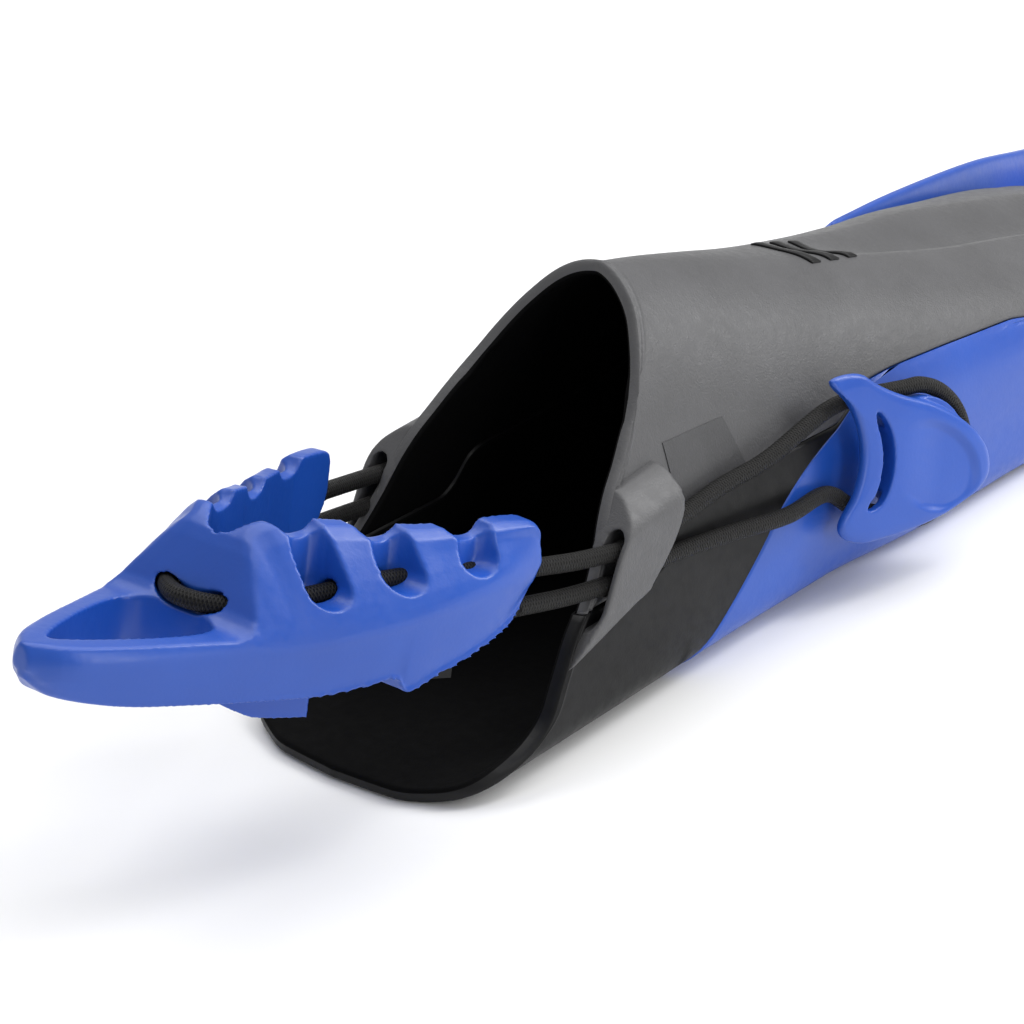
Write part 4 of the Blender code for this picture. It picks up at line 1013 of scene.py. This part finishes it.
def pull_section(s):
    out = float(profile(PULL_OUTER, s))
    ledge = float(smoothstep(112, 128, s))
    wall = min(float(profile(PULL_WALL_X, s)), out - 0.8) * (1 - ledge) + (out - 2.2) * ledge
    top, ridge, foot = (float(profile(t, s)) for t in (PULL_TOP, PULL_RIDGE, PULL_FOOT))
    side = out - wall
    right = [
        (0, top), (wall * 0.55, top), (wall, top - 0.4),
        (wall + side * 0.42, top + (ridge - top) * 0.34),
        (wall + side * 0.86, top + (ridge - top) * 0.80),
        (out, ridge - 1.5),
        (out - 0.4, ridge - 5.0 if ridge - 5.0 > foot + 2 else (ridge + foot) / 2),
        (out - 2.6, foot + 1.2),
        (out - 4.6 if out > 9 else out * 0.5, foot),
        (0, foot),
    ]
    return right + [(-x, h) for x, h in right[-2:0:-1]]


def pull_envelope():
    front, rear = [30, 30.6, 31.5, 32.8, 34.5], [177, 178.6, 180, 181.4, 182.4, 183]
    stations = np.concatenate([front, np.arange(36.5, 176, 2.0), rear])
    rings = []
    for s in stations:
        section = np.array(pull_section(float(s)))
        rings.append([strap_point(x, s, h) for x, h in closed_outline(section, 2)])
    return stacked_rings("heel_pull", rings)


def notch_outline(station, floor, half, top):
    points = [(station - half, top), (station + half, top)]
    for k in range(17):
        a = -math.pi * k / 16
        points.append((station + half * math.cos(a), floor + half * 0.8 * (1 + math.sin(a))))
    return points


def notch_cutter(notch, side):
    station, floor = notch
    wall = float(profile(PULL_WALL_X, station))
    rings = []
    for depth, narrow in ((0.4, 2.6), (1.2, 1.8), (2.4, 1.0), (5, 0.3), (30, 0)):
        x, half = wall + depth, NOTCH_HALF - narrow
        outline = notch_outline(station, floor + (NOTCH_HALF - half) * 0.3, half, 40)
        rings.append([strap_point(side * x, s, h) for s, h in outline])
    return stacked_rings("notch", rings)


def wall_dip(notch, side):
    station, _ = notch
    wall = float(profile(PULL_WALL_X, station))
    bottom = float(profile(PULL_TOP, station)) - WALL_DIP
    outline = [(station - 8.6, 40), (station + 8.6, 40)]
    for t in np.linspace(1, -1, 15):
        outline.append((station + 8.0 * t, bottom + (WALL_DIP + 1.5) * abs(t) ** 3))
    rings = [[strap_point(side * x, s, h) for s, h in outline] for x in (wall - 9, wall + 14)]
    return stacked_rings("dip", rings)


SKIRT_TOP = -19.0  # height at which the skirt starts inside the cup


def cup_skirt():
    half = [(92, 16.8)] + [p for p in CUP_INNER if p[0] > 96]
    line = smooth_path([(s, x, 0) for s, x in half] + [(s, -x, 0) for s, x in half[-2::-1]], 2.0)[:, :2]
    run = np.gradient(line, axis=0)
    run /= np.linalg.norm(run, axis=1, keepdims=True)
    aside = np.stack([-run[:, 1], run[:, 0]], 1)
    if aside[0, 1] < 0:
        aside = -aside
    sheets = []
    for offset in (-1.0, SKIRT_WALL):
        edge = line + aside * offset
        foot = profile(SKIRT_FOOT, line[:, 0])
        rows = []
        for t in (0.0, 1.0):
            rows.append([strap_point(x, s, f * t + SKIRT_TOP * (1 - t)) for (s, x), f in zip(edge, foot)])
        sheets.append(np.array(rows))
    return between_sheets("skirt", sheets[1], sheets[0])


def heel_pull():
    pull = pull_envelope()
    combine(pull, cup_skirt(), "UNION")
    wall = [(s, x - CUP_SHIFT * float(1 - smoothstep(90, 108, s))) for s, x in CUP_INNER[-2::-1]]
    cavity = [(CUP_INNER[-1][0], 0), *wall, (20, 0)]
    combine(pull, strap_prism("heel", both_sides(cavity), -60, 60), "DIFFERENCE")
    combine(pull, strap_prism("loop", soft_outline(FINGER_LOOP, 4), -60, 60), "DIFFERENCE")
    for side in (1, -1):
        for notch in NOTCHES:
            combine(pull, notch_cutter(notch, side), "DIFFERENCE")
            combine(pull, wall_dip(notch, side), "DIFFERENCE")
    tunnel = sweep("tunnel", smooth_path(pad_cord(PAD_CORD_UPPER[3:]), 3.0), CORD_RADIUS + 0.8, 12)
    combine(pull, tunnel, "DIFFERENCE")
    return moulded(pull, 0.6, 5)


pull = heel_pull()
pull.name = "fine_heel_pull"
place(pull, "heel_pull", "blue_polymer", ["heel_pull"], BLUE)


def heel_liner():
    """Soft strip along the inside of the heel cup."""
    half = [(s, x) for s, x in CUP_INNER if s >= 50][::-1]
    line = smooth_path([(s, x, 0) for s, x in half[::-1]] + [(s, -x, 0) for s, x in half[1:]], 2.0)[:, :2]
    run = np.gradient(line, axis=0)
    run /= np.linalg.norm(run, axis=1, keepdims=True)
    aside = np.stack([-run[:, 1], run[:, 0]], 1)
    if np.dot(aside[0], [0, -1]) < 0:
        aside = -aside
    grids = []
    for offset in (0.9, 0.9 + LINER_DEPTH):
        edge = line + aside * offset
        rows = [[strap_point(x, s, h) for s, x in edge] for h in np.linspace(-27.5, -8.0, 12)]
        grids.append(np.array(rows))
    return between_sheets("fine_liner", grids[0], grids[1])


liner = heel_liner()
crease_by_angle(liner, 50)
place(liner, "heel_pull", "black_rubber", ["heel_pull_liner"], BLACK)


# --- bungee ------------------------------------------------------------------------------------


def guide_to_pad(upper):
    """One free strand: from inside the guide's slot to the heel pull's wing."""
    end = PAD_CORD_UPPER[0] if upper else PAD_CORD_LOWER[0]
    start = (SLOT_X, 72.5, 57.8) if upper else (SLOT_X, 68.5, 48.6)
    finish = strap_point(end[0] + 0.15, end[1] + 2.0, end[2])
    middle = (np.array(start) + finish) / 2 + np.array([0.6, 0, -0.3])
    return start, finish, smooth_path([start, middle, finish], 1.2)


front = smooth_path(front_cord_route(), 1.3)
for side, word in ((1, "right"), (-1, "left")):
    turn = mirrored if side < 0 else np.asarray
    cord = sweep("fine_bungee_front_" + word, turn(front), CORD_RADIUS)
    place(cord, "fin", "bungee_braid", ["bungee_front_" + word], CORD)
    for level in ("upper", "lower"):
        start, finish, path = guide_to_pad(level == "upper")
        strand = sweep(f"fine_bungee_{level}_{word}", turn(path), CORD_RADIUS)
        place(strand, None, "bungee_braid", [f"bungee_{level}_{word}"], CORD)
        start, finish = tuple(to_frame(turn(start))), tuple(to_frame(turn(finish)))
        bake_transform(strand)
for level, route in (("upper", PAD_CORD_UPPER), ("lower", PAD_CORD_LOWER)):
    inside = sweep("fine_bungee_pad_" + level, smooth_path(pad_cord(route), 1.3), CORD_RADIUS)
    place(inside, "heel_pull", "bungee_braid", ["bungee_pad_" + level], CORD)


# --- marks on the instep -----------------------------------------------------------------------

for index, row in enumerate(MARK_ROWS, 1):
    x = np.linspace(-10, 15, 41)
    rows = []
    for t in np.linspace(-1, 1, 9):
        y = np.full_like(x, row + 2.6 * t)
        crown = 0.55 * np.clip(1 - t**4, 0, 1) * np.clip((1 - np.abs(x - 2.5) / 12.5) * 8, 0, 1) ** 0.5
        rows.append(np.stack([x, y, hull_height(x, y) + 0.6 + crown], 1))
    top = np.array(rows)
    mark = between_sheets(f"fine_mark_{index}", top, top - np.array([0, 0, 1.2]))
    place(mark, "fin", "black_rubber", [f"instep_mark_{index}"], BLACK)


# --- floor, light and camera -------------------------------------------------------------------

bpy.ops.mesh.primitive_plane_add(size=14, location=(0, 0, -0.0005))
floor = bpy.context.object
floor.name = "studio_floor"
paper = Surface("studio_paper", (0.93, 0.93, 0.93), 0.9)
floor.data.materials.append(paper.material)

world = bpy.data.worlds.new("studio")
bpy.context.scene.world = world
world.use_nodes = True
world.node_tree.nodes["Background"].inputs["Color"].default_value = (1, 1, 1, 1)
world.node_tree.nodes["Background"].inputs["Strength"].default_value = 0.42

sky = bpy.data.lights.new("sky_panel", "SUN")
sky.energy = 2.2
sky.angle = math.radians(75)
sky_lamp = bpy.data.objects.new("sky_panel", sky)
bpy.context.scene.collection.objects.link(sky_lamp)
sky_lamp.rotation_euler = Vector((0.22, -0.30, -1)).to_track_quat("-Z", "Y").to_euler()


def area_light(name, location, target, size, power):
    data = bpy.data.lights.new(name, "AREA")
    data.shape = "RECTANGLE"
    data.size, data.size_y = size
    data.energy = power
    lamp = bpy.data.objects.new(name, data)
    bpy.context.scene.collection.objects.link(lamp)
    lamp.location = location
    lamp.rotation_euler = (Vector(target) - Vector(location)).to_track_quat("-Z", "Y").to_euler()


area_light("edge_strip", (0.55, 0.55, 0.75), (0, -0.05, 0.05), (0.25, 0.9), 7)
area_light("side_strip", (1.0, -0.35, 0.45), (0, -0.1, 0.05), (0.2, 0.8), 2.5)

camera_data = bpy.data.cameras.new("camera")
camera_data.lens = 97.0
camera_data.sensor_width = 36
camera_data.clip_end = 50
camera = bpy.data.objects.new("camera", camera_data)
bpy.context.scene.collection.objects.link(camera)
right = Vector((0.7679, 0.64, -0.0291))
down = Vector((0.2569, -0.3492, -0.9012))
ahead = Vector((-0.5869, 0.6845, -0.4325))
eye = Vector(to_frame((498.8, -501.5, 422.0)))
camera.matrix_world = Matrix((
    (right.x, -down.x, -ahead.x, eye.x),
    (right.y, -down.y, -ahead.y, eye.y),
    (right.z, -down.z, -ahead.z, eye.z),
    (0, 0, 0, 1),
))
bpy.context.scene.camera = camera
bpy.context.scene.view_settings.view_transform = "Standard"
